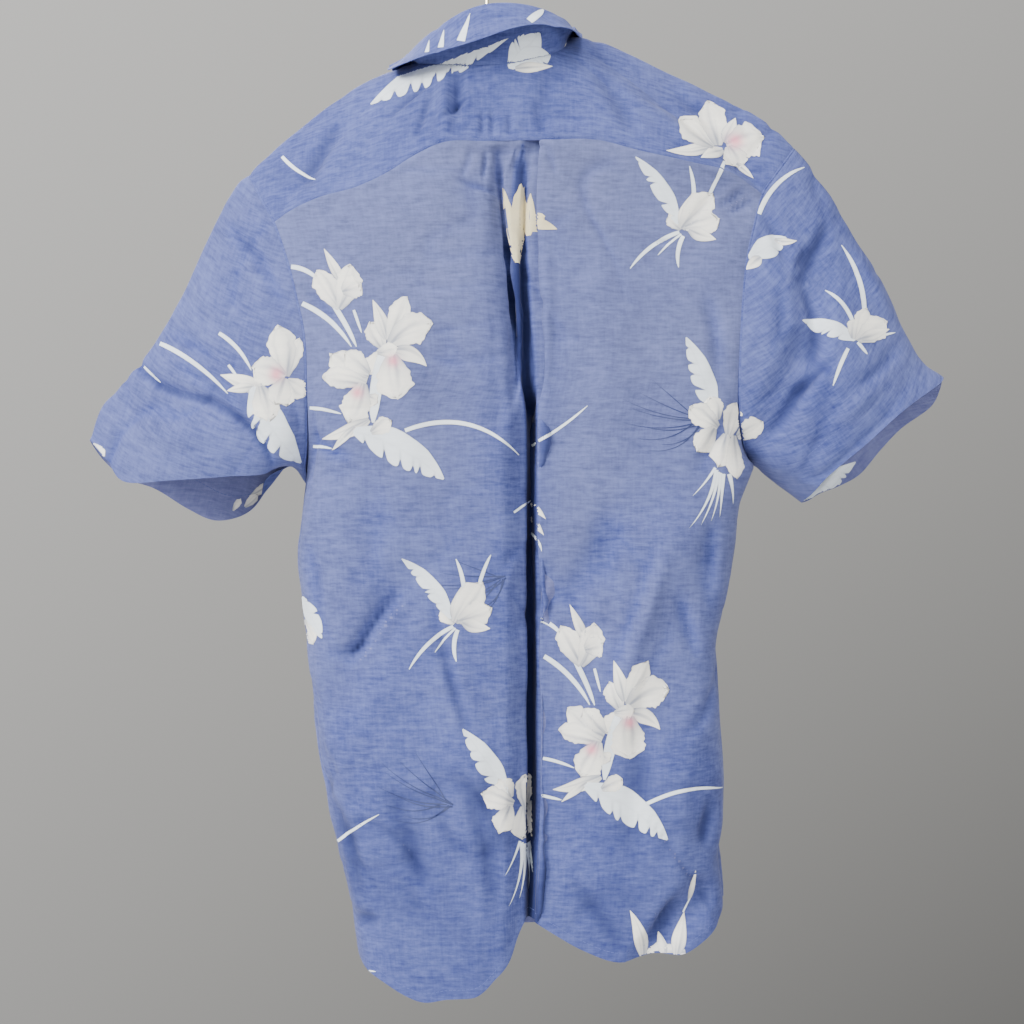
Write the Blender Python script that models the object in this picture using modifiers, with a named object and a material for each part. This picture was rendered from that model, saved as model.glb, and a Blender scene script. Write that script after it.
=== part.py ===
"""A short-sleeved hawaiian shirt, buttoned up, hanging on a plain wooden hanger with a steel hook.

The shirt's back faces -Y and its front +Y. The origin is the inside top of the hook, which hangs on
a rail or a peg. The tables and the functions work in millimetres, and build_mesh turns them into metres.

Every piece of cloth is a grid of points: columns run round the body or the arm, rows run down the
cloth. Neighbouring pieces read their shared seam from the same curve, and each edge then stops short
of it. The hanger is tilted by its load, so the left shoulder (-X) hangs lower than the right one.
"""

import math

import bmesh
import bpy
import numpy as np

MM = 0.001

# Cloth and seams
CLOTH_WALL = 1.2
COLLAR_WALL = 1.8
SEAM_GAP = 0.3
ARMPIT_GAP = 2.2
ARMPIT_SPREAD = 0.15

# How many steps each stretch of a grid has
ARMHOLE_STEPS = 12
SIDE_STEPS = 10
SHOULDER_STEPS = 6
SHOULDER_ROUND_STEPS = 8
SLEEVE_STEPS = 6
HALF_BACK_STEPS = 8
SIDE_REACH = 4

# The armhole seams: over the shoulder, down the back, under the arm and up the front.
BACK_CORNER, ARMPIT, FRONT_CORNER = 3, 10, 17
ARMHOLE_LEFT = (  # x, y, z
    (-197.5, 0, -199), (-191, -11, -210), (-184, -20, -224), (-173, -28, -243), (-160.5, -36, -277),
    (-152.5, -41, -307), (-145.6, -44, -341), (-144, -43, -393), (-144.5, -33, -425), (-148, -16, -446),
    (-151, 5, -457), (-148, 24, -444), (-141, 38, -420), (-137, 47, -380), (-140, 48, -330),
    (-150, 42, -285), (-163, 33, -252), (-176, 25, -232), (-188, 13, -214),
)
ARMHOLE_RIGHT = (  # x, y, z
    (256, 0, -177), (247, -10, -189), (236, -17, -204), (226, -22, -219), (217, -32, -248),
    (209, -41, -283), (204.5, -45, -333), (202.7, -43, -389), (207, -32, -420), (214, -14, -433),
    (221, 5, -439), (215, 24, -431), (205, 38, -410), (199, 46, -370), (201, 47, -320),
    (210, 42, -275), (222, 33, -244), (235, 22, -217), (247, 12, -194),
)

# The hems of the sleeves, each from its outer fold along the back to the underarm and back in front.
CUFF_LEFT_UNDER, CUFF_RIGHT_UNDER = 7, 6
CUFF_LEFT = (  # x, y, z
    (-329.5, -5, -420), (-312, -18, -438), (-295, -27, -455), (-255, -38, -454), (-206, -43, -451),
    (-179, -40, -449.5), (-165, -22, -442), (-158, 2, -441), (-166, 22, -440), (-180, 30, -444),
    (-191, 34, -452), (-196, 36, -468), (-210, 38, -482), (-234, 39, -487), (-257, 36, -477),
    (-283, 27, -460), (-306, 15, -451), (-322, 5, -435),
)
CUFF_RIGHT = (  # x, y, z
    (377.5, -2, -369.6), (372, -14, -375), (338, -36, -397), (309, -45, -421.7), (276, -36, -451),
    (267, -18, -464), (263, 0, -470), (274, 18, -468), (288, 30, -462), (318, 40, -448.7),
    (338, 44, -427), (355, 38, -408), (374.7, 20, -391.5), (379, 8, -378),
)
# How far the sleeve's outer fold lies above the straight line from shoulder to hem.
SLEEVE_FOLD_LEFT = (  # share of the way, rise
    (0, 0), (0.07, 7), (0.19, 8), (0.32, 2), (0.44, -6), (0.57, -10), (0.7, -4), (0.82, 0),
    (0.93, 8), (1, 0),
)
SLEEVE_FOLD_RIGHT = (
    (0, 0), (0.05, 3), (0.18, 7), (0.31, 8.5), (0.45, 7), (0.59, 5.5), (0.72, -5.5), (0.86, -13),
    (1, 0),
)
SLEEVE_BULGE = 6

# The neck seam, from the centre front round the left side, the back and the right side.
NECK_LEFT_SEAM, NECK_LEFT_RIDGE, NECK_RIGHT_RIDGE, NECK_RIGHT_SEAM = 3, 4, 11, 12
NECK = (  # x, y, z
    (5, 58, -164), (-22, 54, -155), (-45, 41, -136), (-57, 22, -115), (-60, 2, -106),
    (-54, -20, -112), (-34, -38, -118), (-5, -47, -120), (25, -48, -118), (52, -40, -110),
    (64, -24, -99), (67, -2, -85), (66, 20, -94), (54, 41, -120), (32, 54, -147),
)
YOKE_SEAM = (  # x, y, z
    (-173, -28, -243), (-162, -31, -236), (-138.6, -37, -226), (-103, -43, -217), (-80, -46, -207),
    (-58, -49, -194), (-38, -51, -185), (11, -52, -184), (43, -52, -182.5), (91, -50, -182),
    (122, -47, -189), (166, -40, -197), (200, -32, -204), (226, -22, -219),
)
# How far the shoulder's ridge lies above the straight line from neck to armhole. The seams beside it
# lie at FRONT_SEAM_LIFT of that.
RIDGE_LEFT = ((0, 0), (0.25, 8.5), (0.5, 12), (0.75, 8.5), (1, 0))  # share of the way, lift
RIDGE_RIGHT = ((0, 0), (0.15, 8), (0.32, 10), (0.6, 12.5), (0.78, 13), (0.9, 9), (1, 0))
FRONT_SEAM_LIFT = 0.7

# The side seams, from the armpit to the hem.
SIDE_LEFT = (  # x, y, z
    (-151, 5, -457), (-152.5, 5, -480), (-156, 5, -512), (-152.5, 5, -550), (-149, 5, -600),
    (-144.5, 5, -640), (-137.5, 5, -685), (-130.5, 5, -722), (-120.5, 5, -764), (-111.5, 5, -800),
    (-106, 5, -829),
)
SIDE_RIGHT = (  # x, y, z
    (221, 5, -439), (211, 5, -456), (208, 5, -486), (204, 5, -520), (196, 5, -553), (191, 5, -580),
    (193, 5, -612), (195, 5, -650), (198, 5, -703), (194, 5, -748), (196, 5, -790),
)

# How the cloth turns from the side seam, at SIDE_Y, on to the flat of the back or the front.
SIDE_Y = 5
TURN = (  # share of the width, share of the depth
    (0, 0), (0.012, 0.34), (0.05, 0.64), (0.13, 0.86), (0.26, 0.96), (0.43, 0.99), (0.62, 1),
    (0.81, 1), (1, 1),
)
BACK_PLANE = (  # z, left half's y, right half's y
    (-180, -52, -51), (-280, -55, -53), (-430, -58, -56), (-580, -61, -58), (-730, -67, -63),
    (-860, -75, -69),
)
BACK_HEM = (  # x, z
    (-106, -829), (-103, -833), (-96, -838), (-83, -846), (-67, -856), (-52, -863), (-28, -861),
    (-2, -856), (6, -848), (14, -839), (21, -827), (26, -813), (30, -806), (37, -803), (46, -808),
    (63, -820), (81, -827), (100, -834), (112, -835), (125, -831), (160, -828), (171, -822),
    (183, -812), (191, -801), (196, -790),
)

# The pleat down the middle of the back. Its right edge lies on top, and a strip of the underlay
# stands out beside the left half near the yoke, with a sharp left edge of its own.
PLEAT = (  # z, right edge, strip's left edge, valley, how far the strip stands out, depth, lap, fall
    (-180, 43, 11, 32, 0, 6.4, 16, 8), (-205, 42, 11, 32, 0.7, 6.5, 16, 10),
    (-230, 41.8, 13, 31, 1, 7.2, 17, 12), (-253, 42.5, 15, 30.5, 1, 8, 18, 15),
    (-276, 43.5, 20.5, 33, 1, 8.5, 19, 16), (-325, 47.5, 22.5, 35.5, 1, 9.5, 20, 18),
    (-350, 48.3, 24, 37, 1, 10, 20, 19), (-375, 47, 26.5, 38, 0.7, 11, 20, 21),
    (-415, 39.5, 26, 34, 0, 12.5, 20, 24), (-462, 39, 25, 33, 0, 13, 20, 24),
    (-550, 41.5, 27, 35, 0, 14, 20, 24), (-630, 42.3, 28, 36, 0, 14, 20, 24),
    (-749, 41.5, 27, 35, 0, 13, 20, 24), (-805, 38, 24, 32, 0, 12, 18, 22),
    (-870, 37, 23, 31, 0, 12, 18, 22),
)
LAYER = 3.4
PLEAT_REACH_LEFT, PLEAT_REACH_RIGHT = 50, 12

# The front, closed at its middle with the left half on top.
FRONT_PLANE = ((-164, 57), (-230, 56), (-330, 56), (-450, 58), (-590, 60), (-730, 60), (-845, 62))
FRONT_MIDDLE = ((-164, 5), (-330, 14), (-530, 22), (-842, 30))  # z, x
FRONT_HEM = (  # x, z
    (-106, -829), (-100, -833), (-60, -838), (0, -839), (40, -838), (100, -832), (160, -815),
    (196, -790),
)
FRONT_NECK_STEPS = 4
FRONT_OVERLAP = 15
OVERLAP_STEP = 1.1
OVERLAP_FADE = 40

# Broad folds: from one end to the other, half their width, and their depth into the cloth.
BACK_FOLDS = (  # x, z, x, z, half width, depth
    (150, -500, 104, -640, 34, -6), (-60, -530, -118, -630, 28, 5), (170, -785, 128, -835, 20, 9),
    (-30, -620, 0, -730, 30, -4), (186, -670, 170, -790, 26, 5),
)
SLEEVE_FOLDS_RIGHT = (  # x, z, x, z, half width, depth
    (268, -285, 256, -350, 24, 8), (256, -350, 222, -430, 24, 9),
)
SLEEVE_FOLDS_LEFT = (  # x, z, x, z, half width, depth
    (-290, -365, -225, -395, 22, 4),
)

# The collar: one piece that stands on the neck seam, rolls over and falls outside.
COLLAR = (  # place along the neck seam, stand, lean, reach of the fall, drop of the fall
    (0, 9, 1, 7, 30), (1, 10, 2, 10, 66), (2, 12, 3, 18, 52), (3, 11, 3, 20, 28), (4, 7, 3, 16, 9),
    (5, 9, 5, 22, 17), (6, 24, 9, 17, 24), (7, 41, 10, 16, 32), (8, 41, 10, 15, 20),
    (9, 27, 8, 14, 12), (10, 13, 4, 11, 9), (11, 9, 2, 10, 7), (12, 11, 3, 14, 20),
    (13, 12, 3, 17, 50), (14, 10, 2, 10, 66), (15, 9, 1, 7, 30),
)
COLLAR_STEPS = 32
COLLAR_ROLL = 3
COLLAR_BASE = 2.2
COLLAR_OPENING = 0.06

BUTTON_RADIUS = 5.6
BUTTON_THICK = 2.4
BUTTON_RIM = 0.6
BUTTON_COUNT = 7
FIRST_BUTTON_Z, BUTTON_SPACING = -182, 92
BUTTON_CLEARANCE = 0.6

BAR_RADIUS = 8
BAR = (  # x, z
    (-186, -211), (-156, -182), (-110, -153), (-60, -134), (0, -125), (45, -118), (85, -116),
    (130, -128), (170, -147), (206, -170),
)
WIRE_RADIUS = 1.6
HOOK_RADIUS = 20
STEM_TOP = -50
HOOK_TIP_DEGREES = -30


def smooth(keys, values, at):
    """A smooth curve through the values at rising keys, read at the places given."""
    keys = np.asarray(keys, float)
    values = np.asarray(values, float)
    slopes = np.gradient(values, keys, axis=0)
    at = np.clip(np.asarray(at, float), keys[0], keys[-1])
    span = np.clip(np.searchsorted(keys, at, side="right") - 1, 0, len(keys) - 2)
    step = keys[span + 1] - keys[span]
    t = (at - keys[span]) / step
    if values.ndim > 1:
        t = t.reshape(t.shape + (1,) * (values.ndim - 1))
        step = step.reshape(t.shape)
    return (
        (2 * t**3 - 3 * t**2 + 1) * values[span]
        + (t**3 - 2 * t**2 + t) * step * slopes[span]
        + (3 * t**2 - 2 * t**3) * values[span + 1]
        + (t**3 - t**2) * step * slopes[span + 1]
    )


def column(table, name, at):
    """One column of a table read at keys from its first column, which may rise or fall."""
    rows = np.array(sorted(table), float)
    return smooth(rows[:, 0], rows[:, name], at)


def lengths(points):
    """The distance travelled along a row of points, from 0."""
    steps = np.linalg.norm(np.diff(points, axis=0), axis=1)
    return np.concatenate([[0], np.cumsum(steps)])


def evenly(points, count):
    """The same line with its points spread evenly, count steps long."""
    run = lengths(points)
    at = np.linspace(0, run[-1], count + 1)
    return np.stack([np.interp(at, run, points[:, axis]) for axis in range(3)], axis=1)


def stretch(points, first, last, count, closed=True):
    """An even run of points along a smooth line, between two of the points that define it."""
    points = np.array(points, float)
    keys = np.arange(len(points))
    if closed:
        points = np.concatenate([points] * 3)
        keys = np.arange(len(points)) - len(points) // 3
    fine = smooth(keys, points, np.linspace(first, last, 40 * count + 1))
    return evenly(fine, count)


def unit(vectors):
    return vectors / np.maximum(np.linalg.norm(vectors, axis=-1, keepdims=True), 1e-9)


def pull_back(edge, inner, gap):
    """An edge moved towards the row next to it, to leave half a seam's gap."""
    return edge + unit(inner - edge) * np.asarray(gap)[..., None]


def normals(grid):
    """The direction that faces away from the cloth at each point of a grid."""
    across = np.gradient(grid, axis=0)
    down = np.gradient(grid, axis=1)
    return unit(np.cross(across, down))


def fold_depth(x, z, folds):
    """How deep the listed folds press the cloth at each place."""
    depth = np.zeros(np.shape(x))
    for x0, z0, x1, z1, half_width, most in folds:
        run = math.hypot(x1 - x0, z1 - z0)
        along = ((x - x0) * (x1 - x0) + (z - z0) * (z1 - z0)) / run**2
        aside = ((x - x0) * (z1 - z0) - (z - z0) * (x1 - x0)) / run
        past = np.maximum(np.maximum(-along, along - 1), 0) * run
        away = np.hypot(aside, past) / half_width
        depth += most * np.where(away < 1, (1 - away**2) ** 2, 0)
    return depth


def armhole(side):
    return ARMHOLE_LEFT if side == "left" else ARMHOLE_RIGHT


def panel_edge(side, panel, finer=1):
    """A back or front panel's outer edge: down the armhole, then down the side seam."""
    corner = BACK_CORNER if panel == "back" else FRONT_CORNER
    upper = stretch(armhole(side), corner, ARMPIT, ARMHOLE_STEPS * finer)
    seam = SIDE_LEFT if side == "left" else SIDE_RIGHT
    lower = stretch(seam, 0, len(seam) - 1, SIDE_STEPS * finer, closed=False)
    return np.concatenate([upper, lower[1:]])


def turn_shares(edge_depth, steps):
    """Shares of width and depth from a panel's outer edge to its middle, for each row.

    A row that starts part of the way round the side, at an armhole, has only the rest of the turn.
    """
    turn = np.array(TURN, float)
    keys = np.arange(len(turn))
    start = np.interp(edge_depth, turn[:, 1], keys)
    place = start + (keys[-1] - start) * np.linspace(0, 1, steps + 1)[:, None]
    width = smooth(keys, turn[:, 0], place)
    depth = smooth(keys, turn[:, 1], place)
    return (width - width[0]) / (1 - width[0]), (depth - depth[0]) / (1 - depth[0])


def levels(top_z, hem_z, edge):
    """Heights of a half panel, from its side to its middle. The row at the armpit is level.

    Beside the outer edge the columns follow that edge's rows, further in the rows are evenly spread.
    """
    run = lengths(edge)
    even = edge[0, 2] + (edge[-1, 2] - edge[0, 2]) * run / run[-1]
    inward = np.clip(np.arange(len(top_z)) / SIDE_REACH, 0, 1)[:, None]
    rows = np.arange(len(edge))
    above = np.clip(1 - rows / ARMHOLE_STEPS, 0, 1)
    below = np.clip((rows - ARMHOLE_STEPS) / SIDE_STEPS, 0, 1)
    rise = (top_z - edge[0, 2])[:, None] * above + (hem_z - edge[-1, 2])[:, None] * below
    return edge[:, 2] + (even - edge[:, 2]) * inward + rise


def seam_point(x):
    """A point of the seam between yoke and back."""
    return np.stack([x, column(YOKE_SEAM, 1, x), column(YOKE_SEAM, 2, x)], axis=-1)


def half_back(side):
    """One half of the back, from the side to the pleat: a grid of 3D points."""
    edge = panel_edge(side, "back")
    reach = -PLEAT_REACH_LEFT if side == "left" else PLEAT_REACH_RIGHT
    share = np.linspace(0, 1, HALF_BACK_STEPS + 1)
    top_x = edge[0, 0] + share * (column(PLEAT, 1, seam_point(0.0)[2]) + reach - edge[0, 0])
    turned = turn_shares(0.0, HALF_BACK_STEPS)[0][:, 0]
    hem_x = edge[-1, 0] + turned * (column(PLEAT, 1, -830) + reach - edge[-1, 0])
    z = levels(column(YOKE_SEAM, 2, top_x), column(BACK_HEM, 1, hem_x), edge)
    plane = column(BACK_PLANE, 1 if side == "left" else 2, z)
    width, depth = turn_shares((SIDE_Y - edge[:, 1]) / (SIDE_Y - plane[0]), HALF_BACK_STEPS)
    x = edge[:, 0] + width * (column(PLEAT, 1, z) + reach - edge[:, 0])
    y = edge[:, 1] + depth * (plane - edge[:, 1])
    return meet_top(np.stack([x, y, z], axis=-1), seam_point(top_x), ARMHOLE_STEPS)


def meet_top(grid, line, reach):
    """The grid with its top row moved on to a seam, and the rows below it eased along."""
    fade = np.clip(1 - np.arange(grid.shape[1]) / reach, 0, 1) ** 2
    return grid + (line - grid[:, 0])[:, None, :] * fade[None, :, None]


def meet_side(grid, line, reach):
    """The grid with its first column moved on to a seam, and the columns beside it eased along."""
    fade = np.clip(1 - np.arange(grid.shape[0]) / reach, 0, 1) ** 2
    return grid + (line - grid[0])[None, :, :] * fade[:, None, None]


def pleat_columns(left, right):
    """The pleat between the two halves of the back: for each of its folds, a column of points."""
    z = (left[-1, :, 2] + right[-1, :, 2]) / 2
    edge, strip, valley, raised, deep, lap, fall = (column(PLEAT, i, z) for i in range(1, 8))
    start = edge - PLEAT_REACH_LEFT + 6
    under = deep + LAYER

    def fallen(x):
        t = np.clip((x - (edge - 4 - fall)) / fall, 0, 1)
        return deep * t * t * (3 - 2 * t)

    strip_turns = (  # x and depth of each turn where the strip stands out
        (start, 1), ((start + strip - 5) / 2, deep * 0.5), (strip - 5, under),
        (strip - 1.5, under + LAYER), (strip, deep + 1.5), (strip + 2.5, deep), (valley, deep + 2.5),
    )
    made = []
    for index, (x, depth) in enumerate(strip_turns):
        flat_x = start + (edge - 6 - start) * index / (len(strip_turns) - 1)
        made.append((x * raised + flat_x * (1 - raised), depth * raised + fallen(flat_x) * (1 - raised)))
    made += [
        (edge - 2, deep), (edge + lap / 2, deep + 0.4), (edge + lap - 1.5, deep),
        (edge + lap, deep - LAYER / 2), (edge + lap - 1.5, deep - LAYER),
        (edge + lap / 3, (deep - LAYER) * 0.4 + LAYER * 0.6), (edge + 1.3, LAYER),
        (edge, LAYER / 2), (edge + 1.3, 0),
    ]
    plane_left, plane_right = left[-1, :, 1], right[-1, :, 1]
    towards_hem = np.clip((np.arange(len(z)) - ARMHOLE_STEPS) / SIDE_STEPS, 0, 1) ** 2
    columns = []
    for x, depth in made:
        share = np.clip((x - start) / (edge - start), 0, 1)
        plane = plane_left * (1 - share) + plane_right * share
        level = left[-1, :, 2] * (1 - share) + right[-1, :, 2] * share
        level = level + (column(BACK_HEM, 1, x[-1]) - level[-1]) * towards_hem
        columns.append(np.stack([x, plane + depth, level], axis=-1))
    return np.stack(columns)


def back_grid(across=1, down=1):
    """The back panel: left half, pleat, right half."""
    left, right = half_back("left"), half_back("right")
    grid = refine(np.concatenate([left, pleat_columns(left, right), right[::-1]]), across, down)
    inside = np.clip((5 - grid[..., 1]) / 60, 0, 1)
    grid[..., 1] += fold_depth(grid[..., 0], grid[..., 2], BACK_FOLDS) * inside
    half = HALF_BACK_STEPS * across + 1
    for piece in (grid[:half], grid[-half:]):
        piece[:] = meet_top(piece, seam_point(piece[:, 0, 0]), ARMHOLE_STEPS * down)
    reach = SIDE_REACH * across
    grid = meet_side(grid, panel_edge("left", "back", down), reach)
    return meet_side(grid[::-1], panel_edge("right", "back", down), reach)[::-1]


def front_top(side, finer=1):
    """The top edge of a front: from past the middle round the neck, then along the yoke."""
    left = side == "left"
    middle = 0 if left else len(NECK)
    seam = NECK_LEFT_SEAM if left else NECK_RIGHT_SEAM
    past = stretch(NECK, middle - 0.6 if left else middle + 0.6, middle, finer)
    neck = stretch(NECK, middle, seam, FRONT_NECK_STEPS * finer)
    return np.concatenate([past, neck[1:], front_seam(side, finer)[1:]])


def front_grid(side, across=1, down=1):
    """One front, from its overlapped edge at the middle to the side."""
    edge = panel_edge(side, "front")
    sign = 1 if side == "left" else -1
    top = front_top(side)
    steps = len(top) - 1
    turned = turn_shares(0.0, steps)[0][::-1, 0]
    inner_hem = column(FRONT_MIDDLE, 1, -842) + sign * FRONT_OVERLAP
    hem_x = edge[-1, 0] + turned * (inner_hem - edge[-1, 0])
    z = levels(top[::-1, 2], column(FRONT_HEM, 1, hem_x[::-1]), edge)[::-1]
    plane = column(FRONT_PLANE, 1, z)
    width, depth = turn_shares((edge[:, 1] - SIDE_Y) / (plane[-1] - SIDE_Y), steps)
    inner_x = column(FRONT_MIDDLE, 1, z) + sign * FRONT_OVERLAP
    x = edge[:, 0] + width[::-1] * (inner_x - edge[:, 0])
    y = edge[:, 1] + depth[::-1] * (plane - edge[:, 1])
    grid = refine(meet_top(np.stack([x, y, z], axis=-1), top, ARMHOLE_STEPS), across, down)
    grid = meet_top(grid, front_top(side, across), ARMHOLE_STEPS * down)
    grid = meet_side(grid[::-1], panel_edge(side, "front", down), SIDE_REACH * across)[::-1]
    past_middle = np.abs(grid[..., 0] - column(FRONT_MIDDLE, 1, grid[..., 2])) - FRONT_OVERLAP
    grid[..., 1] += sign * OVERLAP_STEP * np.clip(1 - past_middle / OVERLAP_FADE, 0, 1)
    return grid


def front_seam(side, finer=1):
    """The seam between the yoke and a front, from the neck to the armhole."""
    neck = np.array(NECK[NECK_LEFT_SEAM if side == "left" else NECK_RIGHT_SEAM], float)
    arm = np.array(armhole(side)[FRONT_CORNER], float)
    share = np.linspace(0, 1, SHOULDER_STEPS * finer + 1)[:, None]
    line = neck + (arm - neck) * share
    line[:, 2] += FRONT_SEAM_LIFT * column(RIDGE_LEFT if side == "left" else RIDGE_RIGHT, 1, share[:, 0])
    return line


def yoke_grid(back, across=1, down=1):
    """The yoke, a horseshoe round the neck from the left front seam round the back to the right one."""
    round_steps = SHOULDER_ROUND_STEPS * across
    left_arm = stretch(ARMHOLE_LEFT, FRONT_CORNER - len(ARMHOLE_LEFT), BACK_CORNER, round_steps)
    right_arm = stretch(ARMHOLE_RIGHT, BACK_CORNER, FRONT_CORNER - len(ARMHOLE_RIGHT), round_steps)
    half = HALF_BACK_STEPS * across + 1
    left_x = back[:half, 0, 0]
    right_x = back[-half:, 0, 0]
    pleat = np.linspace(seam_point(left_x[-1]), seam_point(right_x[0]), 4 * across + 1)[1:-1]
    seam = np.concatenate([seam_point(left_x), pleat, seam_point(right_x)])
    outer = np.concatenate([left_arm, seam[1:-1], right_arm])
    count = len(outer) - 1
    run = lengths(outer)
    neck_keys = (NECK_LEFT_SEAM, NECK_LEFT_RIDGE, NECK_RIGHT_RIDGE, NECK_RIGHT_SEAM)
    ridge = round_steps // 2
    run_keys = (0, run[ridge], run[count - ridge], run[count])
    neck = smooth(np.arange(len(NECK)), np.array(NECK, float), np.interp(run, run_keys, neck_keys))
    share = np.linspace(0, 1, SHOULDER_STEPS * down + 1)
    grid = neck[:, None, :] + (outer - neck)[:, None, :] * share[None, :, None]
    steps = np.arange(count + 1)
    for place, lift, own_seam in ((ridge, RIDGE_LEFT, 0), (count - ridge, RIDGE_RIGHT, count)):
        away = np.abs(steps - place) / (ridge * 1.5)
        weight = np.where(away < 1, 1 - 0.65 * away**2, 0)
        weight[own_seam] = FRONT_SEAM_LIFT
        grid[..., 2] += weight[:, None] * column(lift, 1, share)
    return grid


def sleeve_grid(side, across=1, down=1):
    """A sleeve, as rings from its armhole to its hem: columns run round the arm, rows down it."""
    loop = armhole(side)
    cuff, under = (CUFF_LEFT, CUFF_LEFT_UNDER) if side == "left" else (CUFF_RIGHT, CUFF_RIGHT_UNDER)
    fold_rise = SLEEVE_FOLD_LEFT if side == "left" else SLEEVE_FOLD_RIGHT
    over = stretch(loop, FRONT_CORNER - len(loop), BACK_CORNER, SHOULDER_ROUND_STEPS * across)
    behind = stretch(loop, BACK_CORNER, ARMPIT, ARMHOLE_STEPS * across)
    before = stretch(loop, ARMPIT, FRONT_CORNER, ARMHOLE_STEPS * across)
    half_over = SHOULDER_ROUND_STEPS * across // 2
    back_side = np.concatenate([over[half_over:], behind[1:]])
    front_side = np.concatenate([before, over[1:half_over + 1]])
    back_share = lengths(back_side) / lengths(back_side)[-1]
    front_share = lengths(front_side) / lengths(front_side)[-1]
    fine_back = stretch(cuff, 0, under, 200)
    fine_front = stretch(cuff, under, len(cuff), 200)
    hem_back = read_line(fine_back, back_share)
    hem_front = read_line(fine_front, front_share)
    top = np.concatenate([back_side, front_side[1:-1]])
    hem = np.concatenate([hem_back, hem_front[1:-1]])
    from_fold = np.concatenate([back_share, 1 - front_share[1:-1]])
    outward = np.concatenate([-np.sin(math.pi * back_share), np.sin(math.pi * front_share[1:-1])])
    top = pull_back(top, hem, armpit_gaps(len(top)))
    share = np.linspace(0, 1, SLEEVE_STEPS * down + 1)
    grid = top[:, None, :] + (hem - top)[:, None, :] * share[None, :, None]
    rise = column(fold_rise, 1, share)[None, :]
    grid[..., 2] += rise * ((1 - from_fold) ** 2)[:, None]
    grid[..., 1] += SLEEVE_BULGE * outward[:, None] * (4 * share * (1 - share))[None, :]
    folds = SLEEVE_FOLDS_LEFT if side == "left" else SLEEVE_FOLDS_RIGHT
    on_back = np.clip(-outward, 0, 1)[:, None]
    grid[..., 1] += fold_depth(grid[..., 0], grid[..., 2], folds) * on_back
    return grid


def armpit_gaps(columns):
    """The gap of a sleeve's first ring, wider under the arm where its wall meets the body's at an angle."""
    turn = np.arange(columns) / columns
    return SEAM_GAP / 2 + ARMPIT_GAP * np.exp(-(((turn - 0.5) / ARMPIT_SPREAD) ** 2))


def read_line(points, share):
    """Points of a line at shares of its length."""
    run = lengths(points) / lengths(points)[-1]
    return np.stack([np.interp(share, run, points[:, axis]) for axis in range(3)], axis=1)


def refine(grid, across, down):
    """The smooth surface through a grid's points, with more columns and rows."""
    for finer in (across, down):
        count = len(grid)
        grid = smooth(np.arange(count), grid, np.arange((count - 1) * finer + 1) / finer)
        grid = grid.swapaxes(0, 1)
    return grid


def trim(grid, first_column=0.0, last_column=0.0, first_row=0.0, last_row=0.0):
    """The grid with its edges pulled back from their seams."""
    grid = grid.copy()
    if np.any(first_row):
        grid[:, 0] = pull_back(grid[:, 0], grid[:, 1], first_row)
    if np.any(last_row):
        grid[:, -1] = pull_back(grid[:, -1], grid[:, -2], last_row)
    if np.any(first_column):
        grid[0] = pull_back(grid[0], grid[1], first_column)
    if np.any(last_column):
        grid[-1] = pull_back(grid[-1], grid[-2], last_column)
    return grid


def material(name, color, roughness, metallic=0.0):
    made = bpy.data.materials.get(name) or bpy.data.materials.new(name)
    made.use_nodes = True
    shader = made.node_tree.nodes["Principled BSDF"]
    shader.inputs["Base Color"].default_value = (*color, 1)
    shader.inputs["Roughness"].default_value = roughness
    shader.inputs["Metallic"].default_value = metallic
    return made


def chambray():
    return material("chambray", (0.15, 0.21, 0.43), 0.9)


def add_object(name, mesh, finish, parts):
    made = bpy.data.objects.new(name, mesh)
    made.data.materials.append(finish)
    parts.objects.link(made)
    return made


def build_mesh(name, grid, closed=False):
    """A mesh of quads on a grid of points in millimetres."""
    columns, rows = grid.shape[:2]
    mesh = bpy.data.meshes.new(name)
    spans = columns if closed else columns - 1
    faces = []
    for i in range(spans):
        near, far = i * rows, (i + 1) % columns * rows
        faces += [(near + j, near + j + 1, far + j + 1, far + j) for j in range(rows - 1)]
    mesh.from_pydata((grid.reshape(-1, 3) * MM).tolist(), [], faces)
    mesh.shade_smooth()
    return mesh


def add_cloth(name, grid, parts, closed=False, wall=CLOTH_WALL):
    """A piece of cloth: an open surface given its wall by Solidify, half on each side."""
    made = add_object(name, build_mesh(name, grid, closed), chambray(), parts)
    shell = made.modifiers.new("Wall", "SOLIDIFY")
    shell.thickness = wall * MM
    shell.offset = 0
    return made


def collar_grid():
    """The collar: at each place along the neck seam, a section up the stand, over the roll and down the fall."""
    table = np.array(COLLAR, float)
    last = len(NECK)
    fine = np.linspace(COLLAR_OPENING, last - COLLAR_OPENING, 400)
    loop = np.array(NECK + NECK[:1], float)
    run = lengths(smooth(np.arange(last + 1), loop, fine))
    place = np.interp(np.linspace(0, run[-1], COLLAR_STEPS + 1), run, fine)
    base = smooth(np.arange(last + 1), loop, place)
    stand, lean, reach, drop = (smooth(table[:, 0], table[:, i], place) for i in range(1, 5))
    away = base * (1, 1, 0) - (8, 4, 0)
    out = unit(away)
    up = np.array([0.0, 0, 1])

    def level(outward, height):
        return base + out * outward[:, None] + up * height[:, None]

    roll = COLLAR_ROLL
    rows = [
        level(stand * 0, stand * 0 + COLLAR_BASE), level(lean * 0.4, stand * 0.5),
        level(lean, stand - roll), level(lean + roll, stand),
        level(lean + 2 * roll, stand - roll),
        level(lean + 2 * roll + (reach - 2 * roll) * 0.45, stand - roll - (drop - roll) * 0.5),
        level(lean + reach, stand - drop),
    ]
    return np.stack(rows, axis=1)


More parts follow.
